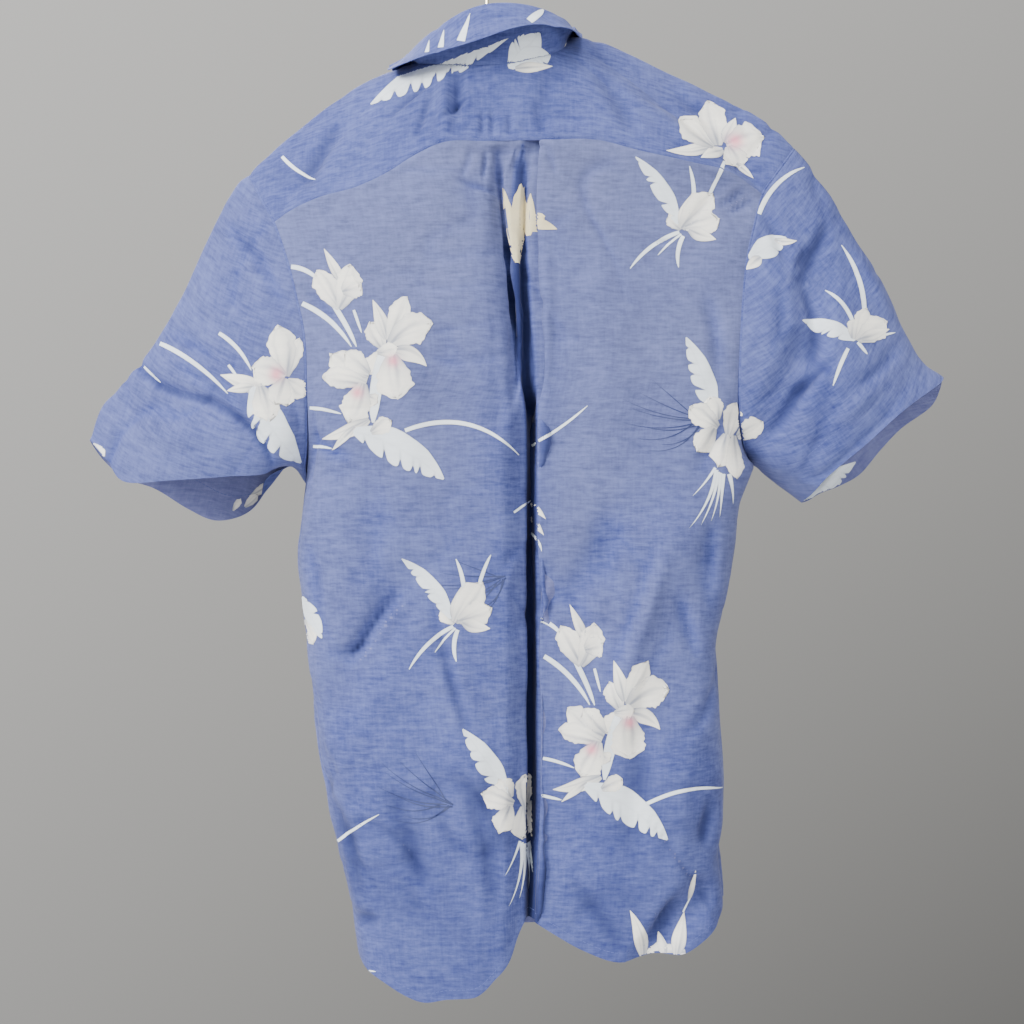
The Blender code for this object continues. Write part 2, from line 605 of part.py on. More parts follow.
def add_button(name, x, y, z, facing, parts):
    """A flat disc with a worn edge, its face turned the way the cloth faces."""
    mesh = bpy.data.meshes.new(name)
    form = bmesh.new()
    bmesh.ops.create_cone(
        form, cap_ends=True, segments=16, radius1=BUTTON_RADIUS * MM, radius2=BUTTON_RADIUS * MM,
        depth=BUTTON_THICK * MM,
    )
    form.to_mesh(mesh)
    form.free()
    made = add_object(name, mesh, material("button", (0.75, 0.77, 0.8), 0.35), parts)
    made.location = (x * MM, y * MM, z * MM)
    made.rotation_euler = facing
    edge = made.modifiers.new("Rim", "BEVEL")
    edge.width = BUTTON_RIM * MM


def add_buttons(parts):
    """A row of buttons down the middle of the left front."""
    surface = front_grid("left", 6, 6)
    flat = surface.reshape(-1, 3)
    facing = normals(surface).reshape(-1, 3)
    for number in range(BUTTON_COUNT):
        z = FIRST_BUTTON_Z - number * BUTTON_SPACING
        x = float(column(FRONT_MIDDLE, 1, z))
        nearest = np.argmin(np.hypot(flat[:, 0] - x, flat[:, 2] - z))
        y = flat[nearest, 1] + CLOTH_WALL / 2 + BUTTON_CLEARANCE + BUTTON_THICK / 2
        tilt = math.atan2(facing[nearest, 2], abs(facing[nearest, 1]))
        add_button(f"button_{number + 1}", x, y, z, (math.pi / 2 + tilt, 0, 0), parts)


def add_line(name, points, radius, finish, parts, bevel_resolution):
    """A round bar or wire along a run of points in millimetres."""
    curve = bpy.data.curves.new(name, "CURVE")
    curve.dimensions = "3D"
    curve.bevel_depth = radius * MM
    curve.bevel_resolution = bevel_resolution
    curve.use_fill_caps = True
    spline = curve.splines.new("POLY")
    spline.points.add(len(points) - 1)
    for point, place in zip(spline.points, points):
        point.co = (*(place * MM), 1)
    return add_object(name, curve, finish, parts)


def add_hanger(parts):
    """The hanger: a round wooden bar under the shoulders, and the wire hook over its middle."""
    x = np.linspace(BAR[0][0], BAR[-1][0], 25)
    z = column(BAR, 1, x)
    wood = material("hanger_wood", (0.55, 0.38, 0.22), 0.5)
    add_line("hanger_bar", np.stack([x, x * 0, z], axis=1), BAR_RADIUS, wood, parts, 3)
    steel = material("hook_steel", (0.6, 0.6, 0.6), 0.3, 1.0)
    wire_path = HOOK_RADIUS + WIRE_RADIUS
    centre = np.array([0, 0, WIRE_RADIUS - wire_path])
    foot = column(BAR, 1, 0.0) + BAR_RADIUS + SEAM_GAP
    stem = [np.array([0, 0, height]) for height in np.linspace(foot, STEM_TOP, 4)]
    turns = np.radians(np.linspace(250, HOOK_TIP_DEGREES, 24))
    hook = [centre + wire_path * np.array([math.cos(a), 0, math.sin(a)]) for a in turns]
    add_line("hanger_hook", np.array(stem + hook), WIRE_RADIUS, steel, parts, 2)


def add_shirt(parts):
    half_gap = SEAM_GAP / 2
    back = back_grid()
    add_cloth("back_panel", trim(back, half_gap, half_gap, SEAM_GAP), parts)
    yoke = trim(yoke_grid(back), SEAM_GAP, SEAM_GAP, SEAM_GAP, SEAM_GAP)
    add_cloth("yoke", yoke[::-1], parts)
    for side in ("left", "right"):
        front = trim(front_grid(side), last_column=half_gap, first_row=half_gap)
        add_cloth(f"front_{side}", front[::-1] if side == "left" else front, parts)
        add_cloth(f"sleeve_{side}", sleeve_grid(side, 1, 2), parts, closed=True)
    add_cloth("collar", collar_grid(), parts, wall=COLLAR_WALL)
    add_buttons(parts)


def main():
    for old in list(bpy.data.objects):
        bpy.data.objects.remove(old)
    parts = bpy.data.collections.new("hawaiian_shirt")
    bpy.context.scene.collection.children.link(parts)
    add_shirt(parts)
    add_hanger(parts)


main()
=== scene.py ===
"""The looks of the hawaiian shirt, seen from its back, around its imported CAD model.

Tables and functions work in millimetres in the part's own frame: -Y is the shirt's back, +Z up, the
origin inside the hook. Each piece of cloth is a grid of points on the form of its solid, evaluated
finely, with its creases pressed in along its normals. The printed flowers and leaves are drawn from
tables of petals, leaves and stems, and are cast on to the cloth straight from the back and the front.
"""

import math

import bmesh
import bpy
import numpy as np
from mathutils import Matrix, Vector
from mathutils.bvhtree import BVHTree


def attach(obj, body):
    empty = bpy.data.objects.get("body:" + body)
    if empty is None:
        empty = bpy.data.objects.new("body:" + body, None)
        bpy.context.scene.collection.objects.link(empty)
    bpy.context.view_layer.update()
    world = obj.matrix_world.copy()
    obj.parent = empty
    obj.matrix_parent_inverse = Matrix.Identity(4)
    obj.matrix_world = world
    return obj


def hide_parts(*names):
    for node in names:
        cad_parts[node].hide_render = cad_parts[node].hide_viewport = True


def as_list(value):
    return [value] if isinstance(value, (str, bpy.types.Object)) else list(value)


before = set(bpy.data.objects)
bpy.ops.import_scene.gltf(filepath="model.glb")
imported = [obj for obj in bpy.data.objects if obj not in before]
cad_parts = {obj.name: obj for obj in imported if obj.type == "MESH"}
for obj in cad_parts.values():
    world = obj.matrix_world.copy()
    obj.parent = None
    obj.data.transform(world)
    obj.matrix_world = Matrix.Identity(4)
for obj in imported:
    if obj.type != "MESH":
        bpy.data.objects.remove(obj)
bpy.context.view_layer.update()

MM = 0.001

# The gap of the armhole seams, and how much wider it is under the arm, over what share of the round.
SEAM_GAP = 0.3
ARMPIT_GAP = 2.2
ARMPIT_SPREAD = 0.15

# How many steps each stretch of a grid has
ARMHOLE_STEPS = 12
SIDE_STEPS = 10
SHOULDER_STEPS = 6
SHOULDER_ROUND_STEPS = 8
SLEEVE_STEPS = 6
HALF_BACK_STEPS = 8
SIDE_REACH = 4
CURVE_STEPS = 40

# The armhole seams: over the shoulder, down the back, under the arm and up the front.
BACK_CORNER, ARMPIT, FRONT_CORNER = 3, 10, 17
ARMHOLE = {  # x, y, z
    "left": (
        (-197.5, 0, -199), (-191, -11, -210), (-184, -20, -224), (-173, -28, -243), (-160.5, -36, -277),
        (-152.5, -41, -307), (-145.6, -44, -341), (-144, -43, -393), (-144.5, -33, -425), (-148, -16, -446),
        (-151, 5, -457), (-148, 24, -444), (-141, 38, -420), (-137, 47, -380), (-140, 48, -330),
        (-150, 42, -285), (-163, 33, -252), (-176, 25, -232), (-188, 13, -214),
    ),
    "right": (
        (256, 0, -177), (247, -10, -189), (236, -17, -204), (226, -22, -219), (217, -32, -248),
        (209, -41, -283), (204.5, -45, -333), (202.7, -43, -389), (207, -32, -420), (214, -14, -433),
        (221, 5, -439), (215, 24, -431), (205, 38, -410), (199, 46, -370), (201, 47, -320), (210, 42, -275),
        (222, 33, -244), (235, 22, -217), (247, 12, -194),
    ),
}

# The hems of the sleeves, each from its outer fold along the back to the underarm and back in front.
CUFF_UNDER = {"left": 7, "right": 6}
CUFF = {  # x, y, z
    "left": (
        (-329.5, -5, -420), (-312, -18, -438), (-295, -27, -455), (-255, -38, -454), (-206, -43, -451),
        (-179, -40, -449.5), (-165, -22, -442), (-158, 2, -441), (-166, 22, -440), (-180, 30, -444),
        (-191, 34, -452), (-196, 36, -468), (-210, 38, -482), (-234, 39, -487), (-257, 36, -477),
        (-283, 27, -460), (-306, 15, -451), (-322, 5, -435),
    ),
    "right": (
        (377.5, -2, -369.6), (372, -14, -375), (338, -36, -397), (309, -45, -421.7), (276, -36, -451),
        (267, -18, -464), (263, 0, -470), (274, 18, -468), (288, 30, -462), (318, 40, -448.7),
        (338, 44, -427), (355, 38, -408), (374.7, 20, -391.5), (379, 8, -378),
    ),
}
# How far the sleeve's outer fold lies above the straight line from shoulder to hem.
SLEEVE_FOLD = {  # share of the way, rise
    "left": (
        (0, 0), (0.07, 7), (0.19, 8), (0.32, 2), (0.44, -6), (0.57, -10), (0.7, -4), (0.82, 0), (0.93, 8),
        (1, 0),
    ),
    "right": (
        (0, 0), (0.05, 3), (0.18, 7), (0.31, 8.5), (0.45, 7), (0.59, 5.5), (0.72, -5.5), (0.86, -13),
        (1, 0),
    ),
}
SLEEVE_BULGE = 6
CUFF_STEPS = 200

# The neck seam, from the centre front round the left side, the back and the right side.
NECK_SEAM = {"left": 3, "right": 12}
NECK_RIDGE = {"left": 4, "right": 11}
NECK = (  # x, y, z
    (5, 58, -164), (-22, 54, -155), (-45, 41, -136), (-57, 22, -115), (-60, 2, -106),
    (-54, -20, -112), (-34, -38, -118), (-5, -47, -120), (25, -48, -118), (52, -40, -110),
    (64, -24, -99), (67, -2, -85), (66, 20, -94), (54, 41, -120), (32, 54, -147),
)
YOKE_SEAM = (  # x, y, z
    (-173, -28, -243), (-162, -31, -236), (-138.6, -37, -226), (-103, -43, -217), (-80, -46, -207),
    (-58, -49, -194), (-38, -51, -185), (11, -52, -184), (43, -52, -182.5), (91, -50, -182),
    (122, -47, -189), (166, -40, -197), (200, -32, -204), (226, -22, -219),
)
# How far the shoulder's ridge lies above the straight line from neck to armhole. The seams beside it
# lie at FRONT_SEAM_LIFT of that.
RIDGE = {  # share of the way, lift
    "left": ((0, 0), (0.25, 8.5), (0.5, 12), (0.75, 8.5), (1, 0)),
    "right": ((0, 0), (0.15, 8), (0.32, 10), (0.6, 12.5), (0.78, 13), (0.9, 9), (1, 0)),
}
FRONT_SEAM_LIFT = 0.7
RIDGE_REACH, RIDGE_FALL = 1.5, 0.65

# The side seams, from the armpit to the hem.
SIDE_SEAM = {  # x, y, z
    "left": (
        (-151, 5, -457), (-152.5, 5, -480), (-156, 5, -512), (-152.5, 5, -550), (-149, 5, -600),
        (-144.5, 5, -640), (-137.5, 5, -685), (-130.5, 5, -722), (-120.5, 5, -764), (-111.5, 5, -800),
        (-106, 5, -829),
    ),
    "right": (
        (221, 5, -439), (211, 5, -456), (208, 5, -486), (204, 5, -520), (196, 5, -553), (191, 5, -580),
        (193, 5, -612), (195, 5, -650), (198, 5, -703), (194, 5, -748), (196, 5, -790),
    ),
}

# How the cloth turns from the side seam, at SIDE_Y, on to the flat of the back or the front.
SIDE_Y = 5
TURN = (  # share of the width, share of the depth
    (0, 0), (0.012, 0.34), (0.05, 0.64), (0.13, 0.86), (0.26, 0.96), (0.43, 0.99), (0.62, 1),
    (0.81, 1), (1, 1),
)
BACK_PLANE = (  # z, left half's y, right half's y
    (-180, -52, -51), (-280, -55, -53), (-430, -58, -56), (-580, -61, -58), (-730, -67, -63),
    (-860, -75, -69),
)
BACK_HEM = (  # x, z
    (-106, -829), (-103, -833), (-96, -838), (-83, -846), (-67, -856), (-52, -863), (-28, -861),
    (-2, -856), (6, -848), (14, -839), (21, -827), (26, -813), (30, -806), (37, -803), (46, -808),
    (63, -820), (81, -827), (100, -834), (112, -835), (125, -831), (160, -828), (171, -822),
    (183, -812), (191, -801), (196, -790),
)

# The pleat down the middle of the back. Its right edge lies on top, and a strip of the underlay
# stands out beside the left half near the yoke, with a sharp left edge of its own.
PLEAT = (  # z, right edge, strip's left edge, valley, how far the strip stands out, depth, lap, fall
    (-180, 43, 11, 32, 0, 6.4, 16, 8), (-205, 42, 11, 32, 0.7, 6.5, 16, 10),
    (-230, 41.8, 13, 31, 1, 7.2, 17, 12), (-253, 42.5, 15, 30.5, 1, 8, 18, 15),
    (-276, 43.5, 20.5, 33, 1, 8.5, 19, 16), (-325, 47.5, 22.5, 35.5, 1, 9.5, 20, 18),
    (-350, 48.3, 24, 37, 1, 10, 20, 19), (-375, 47, 26.5, 38, 0.7, 11, 20, 21),
    (-415, 39.5, 26, 34, 0, 12.5, 20, 24), (-462, 39, 25, 33, 0, 13, 20, 24),
    (-550, 41.5, 27, 35, 0, 14, 20, 24), (-630, 42.3, 28, 36, 0, 14, 20, 24),
    (-749, 41.5, 27, 35, 0, 13, 20, 24), (-805, 38, 24, 32, 0, 12, 18, 22),
    (-870, 37, 23, 31, 0, 12, 18, 22),
)
BACK_HEM_Z = -830
LAYER = 3.4
PLEAT_REACH_LEFT, PLEAT_REACH_RIGHT = 50, 12
PLEAT_INSET = 6
PLEAT_STEPS = 17

# The front, closed at its middle with the left half on top.
FRONT_PLANE = ((-164, 57), (-230, 56), (-330, 56), (-450, 58), (-590, 60), (-730, 60), (-845, 62))
FRONT_MIDDLE = ((-164, 5), (-330, 14), (-530, 22), (-842, 30))  # z, x
FRONT_HEM = (  # x, z
    (-106, -829), (-100, -833), (-60, -838), (0, -839), (40, -838), (100, -832), (160, -815),
    (196, -790),
)
FRONT_NECK_STEPS = 4
FRONT_OVERLAP = 15
FRONT_HEM_Z = -842
OVERLAP_STEP = 1.1
OVERLAP_FADE = 40

# Broad folds: from one end to the other, half their width, and their depth into the cloth. The back's
# are only on cloth that is BACK_DEPTH behind the side seams, and fade out towards them.
BACK_FOLDS = (  # x, z, x, z, half width, depth
    (150, -500, 104, -640, 34, -6), (-60, -530, -118, -630, 28, 5), (170, -785, 128, -835, 20, 9),
    (-30, -620, 0, -730, 30, -4), (186, -670, 170, -790, 26, 5),
)
BACK_DEPTH = 60
SLEEVE_FOLDS = {  # x, z, x, z, half width, depth
    "left": ((-290, -365, -225, -395, 22, 4),),
    "right": ((268, -285, 256, -350, 24, 8), (256, -350, 222, -430, 24, 9)),
}

# The collar: one piece that stands on the neck seam, rolls over and falls outside.
COLLAR = (  # place along the neck seam, stand, lean, reach of the fall, drop of the fall
    (0, 9, 1, 7, 30), (1, 10, 2, 10, 66), (2, 12, 3, 18, 52), (3, 11, 3, 20, 28), (4, 7, 3, 16, 9),
    (5, 9, 5, 22, 17), (6, 24, 9, 17, 24), (7, 41, 10, 16, 32), (8, 41, 10, 15, 20),
    (9, 27, 8, 14, 12), (10, 13, 4, 11, 9), (11, 9, 2, 10, 7), (12, 11, 3, 14, 20),
    (13, 12, 3, 17, 50), (14, 10, 2, 10, 66), (15, 9, 1, 7, 30),
)
COLLAR_STEPS = 32
COLLAR_ROLL = 3
COLLAR_BASE = 2.2
COLLAR_OPENING = 0.06
NECK_STEPS = 400
NECK_CENTRE = (8, 4, 0)

# The buttons, down the middle of the left front.
BUTTON_COUNT = 7
FIRST_BUTTON_Z, BUTTON_SPACING = -182, 92


def smooth(keys, values, at):
    """A smooth curve through the values at rising keys, read at the places given."""
    keys = np.asarray(keys, float)
    values = np.asarray(values, float)
    slopes = np.gradient(values, keys, axis=0)
    at = np.clip(np.asarray(at, float), keys[0], keys[-1])
    span = np.clip(np.searchsorted(keys, at, side="right") - 1, 0, len(keys) - 2)
    step = keys[span + 1] - keys[span]
    t = (at - keys[span]) / step
    if values.ndim > 1:
        t = t.reshape(t.shape + (1,) * (values.ndim - 1))
        step = step.reshape(t.shape)
    return (
        (2 * t**3 - 3 * t**2 + 1) * values[span]
        + (t**3 - 2 * t**2 + t) * step * slopes[span]
        + (3 * t**2 - 2 * t**3) * values[span + 1]
        + (t**3 - t**2) * step * slopes[span + 1]
    )


def column(table, name, at):
    """One column of a table read at keys from its first column, which may rise or fall."""
    rows = np.array(sorted(table), float)
    return smooth(rows[:, 0], rows[:, name], at)


def lengths(points):
    """The distance travelled along a row of points, from 0."""
    steps = np.linalg.norm(np.diff(points, axis=0), axis=1)
    return np.concatenate([[0], np.cumsum(steps)])


def read_line(points, run, at):
    """What a row of points, or of normals, is at distances along its run."""
    return np.stack([np.interp(at, run, points[:, axis]) for axis in range(3)], axis=1)


def evenly(points, count):
    """The same line with its points spread evenly, count steps long."""
    run = lengths(points)
    return read_line(points, run, np.linspace(0, run[-1], count + 1))


def stretch(points, first, last, count, closed=True):
    """An even run of points along a smooth line, between two of the points that define it."""
    points = np.array(points, float)
    keys = np.arange(len(points))
    if closed:
        points = np.concatenate([points] * 3)
        keys = np.arange(len(points)) - len(points) // 3
    fine = smooth(keys, points, np.linspace(first, last, CURVE_STEPS * count + 1))
    return evenly(fine, count)


def shares(points):
    """The distance travelled along a row of points, as a share of the whole."""
    run = lengths(points)
    return run / run[-1]


def unit(vectors):
    """The same directions, each of length 1."""
    return vectors / np.maximum(np.linalg.norm(vectors, axis=-1, keepdims=True), 1e-9)


def bell(away, width):
    """1 in the middle, falling off smoothly over about the width."""
    return np.exp(-((away / width) ** 2))


def eased(share):
    """A share from 0 to 1 that starts and ends softly."""
    return share * share * (3 - 2 * share)


def pull_back(edge, inner, gap):
    """An edge moved towards the row next to it, to leave half a seam's gap."""
    return edge + unit(inner - edge) * np.asarray(gap)[..., None]


def normals(grid):
    """The direction that faces away from the cloth at each point of a grid."""
    across = np.gradient(grid, axis=0)
    down = np.gradient(grid, axis=1)
    return unit(np.cross(across, down))


def fold_depth(x, z, folds):
    """How deep the listed folds press the cloth at each place."""
    depth = np.zeros(np.shape(x))
    for x0, z0, x1, z1, half_width, most in folds:
        run = math.hypot(x1 - x0, z1 - z0)
        along = ((x - x0) * (x1 - x0) + (z - z0) * (z1 - z0)) / run**2
        aside = ((x - x0) * (z1 - z0) - (z - z0) * (x1 - x0)) / run
        past = np.maximum(np.maximum(-along, along - 1), 0) * run
        away = np.hypot(aside, past) / half_width
        depth += most * np.where(away < 1, (1 - away**2) ** 2, 0)
    return depth


def panel_edge(side, panel, finer=1):
    """A back or front panel's outer edge: down the armhole, then down the side seam."""
    corner = BACK_CORNER if panel == "back" else FRONT_CORNER
    upper = stretch(ARMHOLE[side], corner, ARMPIT, ARMHOLE_STEPS * finer)
    seam = SIDE_SEAM[side]
    lower = stretch(seam, 0, len(seam) - 1, SIDE_STEPS * finer, closed=False)
    return np.concatenate([upper, lower[1:]])


def turn_shares(edge_depth, steps):
    """Shares of width and depth from a panel's outer edge to its middle, for each row.

    A row that starts part of the way round the side, at an armhole, has only the rest of the turn.
    """
    turn = np.array(TURN, float)
    keys = np.arange(len(turn))
    start = np.interp(edge_depth, turn[:, 1], keys)
    place = start + (keys[-1] - start) * np.linspace(0, 1, steps + 1)[:, None]
    width = smooth(keys, turn[:, 0], place)
    depth = smooth(keys, turn[:, 1], place)
    return (width - width[0]) / (1 - width[0]), (depth - depth[0]) / (1 - depth[0])


def levels(top_z, hem_z, edge):
    """Heights of a half panel, from its side to its middle. The row at the armpit is level.

    Beside the outer edge the columns follow that edge's rows, further in the rows are evenly spread.
    """
    run = lengths(edge)
    even = edge[0, 2] + (edge[-1, 2] - edge[0, 2]) * run / run[-1]
    inward = np.clip(np.arange(len(top_z)) / SIDE_REACH, 0, 1)[:, None]
    rows = np.arange(len(edge))
    above = np.clip(1 - rows / ARMHOLE_STEPS, 0, 1)
    below = np.clip((rows - ARMHOLE_STEPS) / SIDE_STEPS, 0, 1)
    rise = (top_z - edge[0, 2])[:, None] * above + (hem_z - edge[-1, 2])[:, None] * below
    return edge[:, 2] + (even - edge[:, 2]) * inward + rise


def seam_point(x):
    """A point of the seam between yoke and back."""
    return np.stack([x, column(YOKE_SEAM, 1, x), column(YOKE_SEAM, 2, x)], axis=-1)


def half_back(side):
    """One half of the back, from the side to the pleat: a grid of 3D points."""
    edge = panel_edge(side, "back")
    reach = -PLEAT_REACH_LEFT if side == "left" else PLEAT_REACH_RIGHT
    share = np.linspace(0, 1, HALF_BACK_STEPS + 1)
    top_x = edge[0, 0] + share * (column(PLEAT, 1, seam_point(0.0)[2]) + reach - edge[0, 0])
    turned = turn_shares(0.0, HALF_BACK_STEPS)[0][:, 0]
    hem_x = edge[-1, 0] + turned * (column(PLEAT, 1, BACK_HEM_Z) + reach - edge[-1, 0])
    z = levels(column(YOKE_SEAM, 2, top_x), column(BACK_HEM, 1, hem_x), edge)
    plane = column(BACK_PLANE, 1 if side == "left" else 2, z)
    width, depth = turn_shares((SIDE_Y - edge[:, 1]) / (SIDE_Y - plane[0]), HALF_BACK_STEPS)
    x = edge[:, 0] + width * (column(PLEAT, 1, z) + reach - edge[:, 0])
    y = edge[:, 1] + depth * (plane - edge[:, 1])
    return meet_top(np.stack([x, y, z], axis=-1), seam_point(top_x), ARMHOLE_STEPS)


def meet_top(grid, line, reach):
    """The grid with its top row moved on to a seam, and the rows below it eased along."""
    fade = np.clip(1 - np.arange(grid.shape[1]) / reach, 0, 1) ** 2
    return grid + (line - grid[:, 0])[:, None, :] * fade[None, :, None]


def meet_side(grid, line, reach):
    """The grid with its first column moved on to a seam, and the columns beside it eased along."""
    fade = np.clip(1 - np.arange(grid.shape[0]) / reach, 0, 1) ** 2
    return grid + (line - grid[0])[None, :, :] * fade[:, None, None]


def strip_turns(edge, strip, valley, raised, deep, fall):
    """The pleat's left part: x and depth of its turns, where the strip stands out and where it doesn't."""
    start = edge - PLEAT_REACH_LEFT + PLEAT_INSET
    under = deep + LAYER
    turns = (
        (start, 1), ((start + strip - 5) / 2, deep * 0.5), (strip - 5, under),
        (strip - 1.5, under + LAYER), (strip, deep + 1.5), (strip + 2.5, deep), (valley, deep + 2.5),
    )
    made = []
    for index, (x, depth) in enumerate(turns):
        flat_x = start + (edge - PLEAT_INSET - start) * index / (len(turns) - 1)
        t = np.clip((flat_x - (edge - 4 - fall)) / fall, 0, 1)
        fallen = deep * t * t * (3 - 2 * t)
        made.append((x * raised + flat_x * (1 - raised), depth * raised + fallen * (1 - raised)))
    return made


def lap_turns(edge, deep, lap):
    """The pleat's right part: x and depth of its turns, under the edge that lies on top and round it."""
    return [
        (edge - 2, deep), (edge + lap / 2, deep + 0.4), (edge + lap - 1.5, deep),
        (edge + lap, deep - LAYER / 2), (edge + lap - 1.5, deep - LAYER),
        (edge + lap / 3, (deep - LAYER) * 0.4 + LAYER * 0.6), (edge + 1.3, LAYER),
        (edge, LAYER / 2), (edge + 1.3, 0),
    ]


def pleat_columns(left, right):
    """The pleat between the two halves of the back: for each of its folds, a column of points."""
    z = (left[-1, :, 2] + right[-1, :, 2]) / 2
    edge, strip, valley, raised, deep, lap, fall = (column(PLEAT, i, z) for i in range(1, 8))
    start = edge - PLEAT_REACH_LEFT + PLEAT_INSET
    towards_hem = np.clip((np.arange(len(z)) - ARMHOLE_STEPS) / SIDE_STEPS, 0, 1) ** 2
    columns = []
    for x, depth in strip_turns(edge, strip, valley, raised, deep, fall) + lap_turns(edge, deep, lap):
        share = np.clip((x - start) / (edge - start), 0, 1)[:, None]
        between = left[-1] * (1 - share) + right[-1] * share
        level = between[:, 2] + (column(BACK_HEM, 1, x[-1]) - between[-1, 2]) * towards_hem
        columns.append(np.stack([x, between[:, 1] + depth, level], axis=-1))
    return np.stack(columns)


def back_grid(across=1, down=1):
    """The back panel: left half, pleat, right half."""
    left, right = half_back("left"), half_back("right")
    grid = refine(np.concatenate([left, pleat_columns(left, right), right[::-1]]), across, down)
    inside = np.clip((SIDE_Y - grid[..., 1]) / BACK_DEPTH, 0, 1)
    grid[..., 1] += fold_depth(grid[..., 0], grid[..., 2], BACK_FOLDS) * inside
    half = HALF_BACK_STEPS * across + 1
    for piece in (grid[:half], grid[-half:]):
        piece[:] = meet_top(piece, seam_point(piece[:, 0, 0]), ARMHOLE_STEPS * down)
    reach = SIDE_REACH * across
    grid = meet_side(grid, panel_edge("left", "back", down), reach)
    return meet_side(grid[::-1], panel_edge("right", "back", down), reach)[::-1]


def front_top(side, finer=1):
    """The top edge of a front: from past the middle round the neck, then along the yoke."""
    left = side == "left"
    middle = 0 if left else len(NECK)
    past = stretch(NECK, middle - 0.6 if left else middle + 0.6, middle, finer)
    neck = stretch(NECK, middle, NECK_SEAM[side], FRONT_NECK_STEPS * finer)
    return np.concatenate([past, neck[1:], front_seam(side, finer)[1:]])


def front_grid(side, across=1, down=1):
    """One front, from its overlapped edge at the middle to the side."""
    edge = panel_edge(side, "front")
    sign = 1 if side == "left" else -1
    top = front_top(side)
    steps = len(top) - 1
    turned = turn_shares(0.0, steps)[0][::-1, 0]
    inner_hem = column(FRONT_MIDDLE, 1, FRONT_HEM_Z) + sign * FRONT_OVERLAP
    hem_x = edge[-1, 0] + turned * (inner_hem - edge[-1, 0])
    z = levels(top[::-1, 2], column(FRONT_HEM, 1, hem_x[::-1]), edge)[::-1]
    plane = column(FRONT_PLANE, 1, z)
    width, depth = turn_shares((edge[:, 1] - SIDE_Y) / (plane[-1] - SIDE_Y), steps)
    inner_x = column(FRONT_MIDDLE, 1, z) + sign * FRONT_OVERLAP
    x = edge[:, 0] + width[::-1] * (inner_x - edge[:, 0])
    y = edge[:, 1] + depth[::-1] * (plane - edge[:, 1])
    grid = refine(meet_top(np.stack([x, y, z], axis=-1), top, ARMHOLE_STEPS), across, down)
    grid = meet_top(grid, front_top(side, across), ARMHOLE_STEPS * down)
    grid = meet_side(grid[::-1], panel_edge(side, "front", down), SIDE_REACH * across)[::-1]
    past_middle = np.abs(grid[..., 0] - column(FRONT_MIDDLE, 1, grid[..., 2])) - FRONT_OVERLAP
    grid[..., 1] += sign * OVERLAP_STEP * np.clip(1 - past_middle / OVERLAP_FADE, 0, 1)
    return grid


def front_seam(side, finer=1):
    """The seam between the yoke and a front, from the neck to the armhole."""
    neck = np.array(NECK[NECK_SEAM[side]], float)
    arm = np.array(ARMHOLE[side][FRONT_CORNER], float)
    share = np.linspace(0, 1, SHOULDER_STEPS * finer + 1)[:, None]
    line = neck + (arm - neck) * share
    line[:, 2] += FRONT_SEAM_LIFT * column(RIDGE[side], 1, share[:, 0])
    return line


def yoke_outer(back, across):
    """The yoke's outer edge: over the left shoulder, along the back's seam and over the right shoulder."""
    round_steps = SHOULDER_ROUND_STEPS * across
    left, right = ARMHOLE["left"], ARMHOLE["right"]
    left_arm = stretch(left, FRONT_CORNER - len(left), BACK_CORNER, round_steps)
    right_arm = stretch(right, BACK_CORNER, FRONT_CORNER - len(right), round_steps)
    half = HALF_BACK_STEPS * across + 1
    left_x = back[:half, 0, 0]
    right_x = back[-half:, 0, 0]
    pleat = np.linspace(seam_point(left_x[-1]), seam_point(right_x[0]), 4 * across + 1)[1:-1]
    seam = np.concatenate([seam_point(left_x), pleat, seam_point(right_x)])
    return np.concatenate([left_arm, seam[1:-1], right_arm])


def yoke_grid(back, across=1, down=1):
    """The yoke, a horseshoe round the neck from the left front seam round the back to the right one."""
    outer = yoke_outer(back, across)
    ridge = SHOULDER_ROUND_STEPS * across // 2
    count = len(outer) - 1
    run = lengths(outer)
    neck_keys = (NECK_SEAM["left"], NECK_RIDGE["left"], NECK_RIDGE["right"], NECK_SEAM["right"])
    run_keys = (0, run[ridge], run[count - ridge], run[count])
    neck = smooth(np.arange(len(NECK)), np.array(NECK, float), np.interp(run, run_keys, neck_keys))
    share = np.linspace(0, 1, SHOULDER_STEPS * down + 1)
    grid = neck[:, None, :] + (outer - neck)[:, None, :] * share[None, :, None]
    steps = np.arange(count + 1)
    for place, lift, own_seam in ((ridge, RIDGE["left"], 0), (count - ridge, RIDGE["right"], count)):
        away = np.abs(steps - place) / (ridge * RIDGE_REACH)
        weight = np.where(away < 1, 1 - RIDGE_FALL * away**2, 0)
        weight[own_seam] = FRONT_SEAM_LIFT
        grid[..., 2] += weight[:, None] * column(lift, 1, share)
    return grid


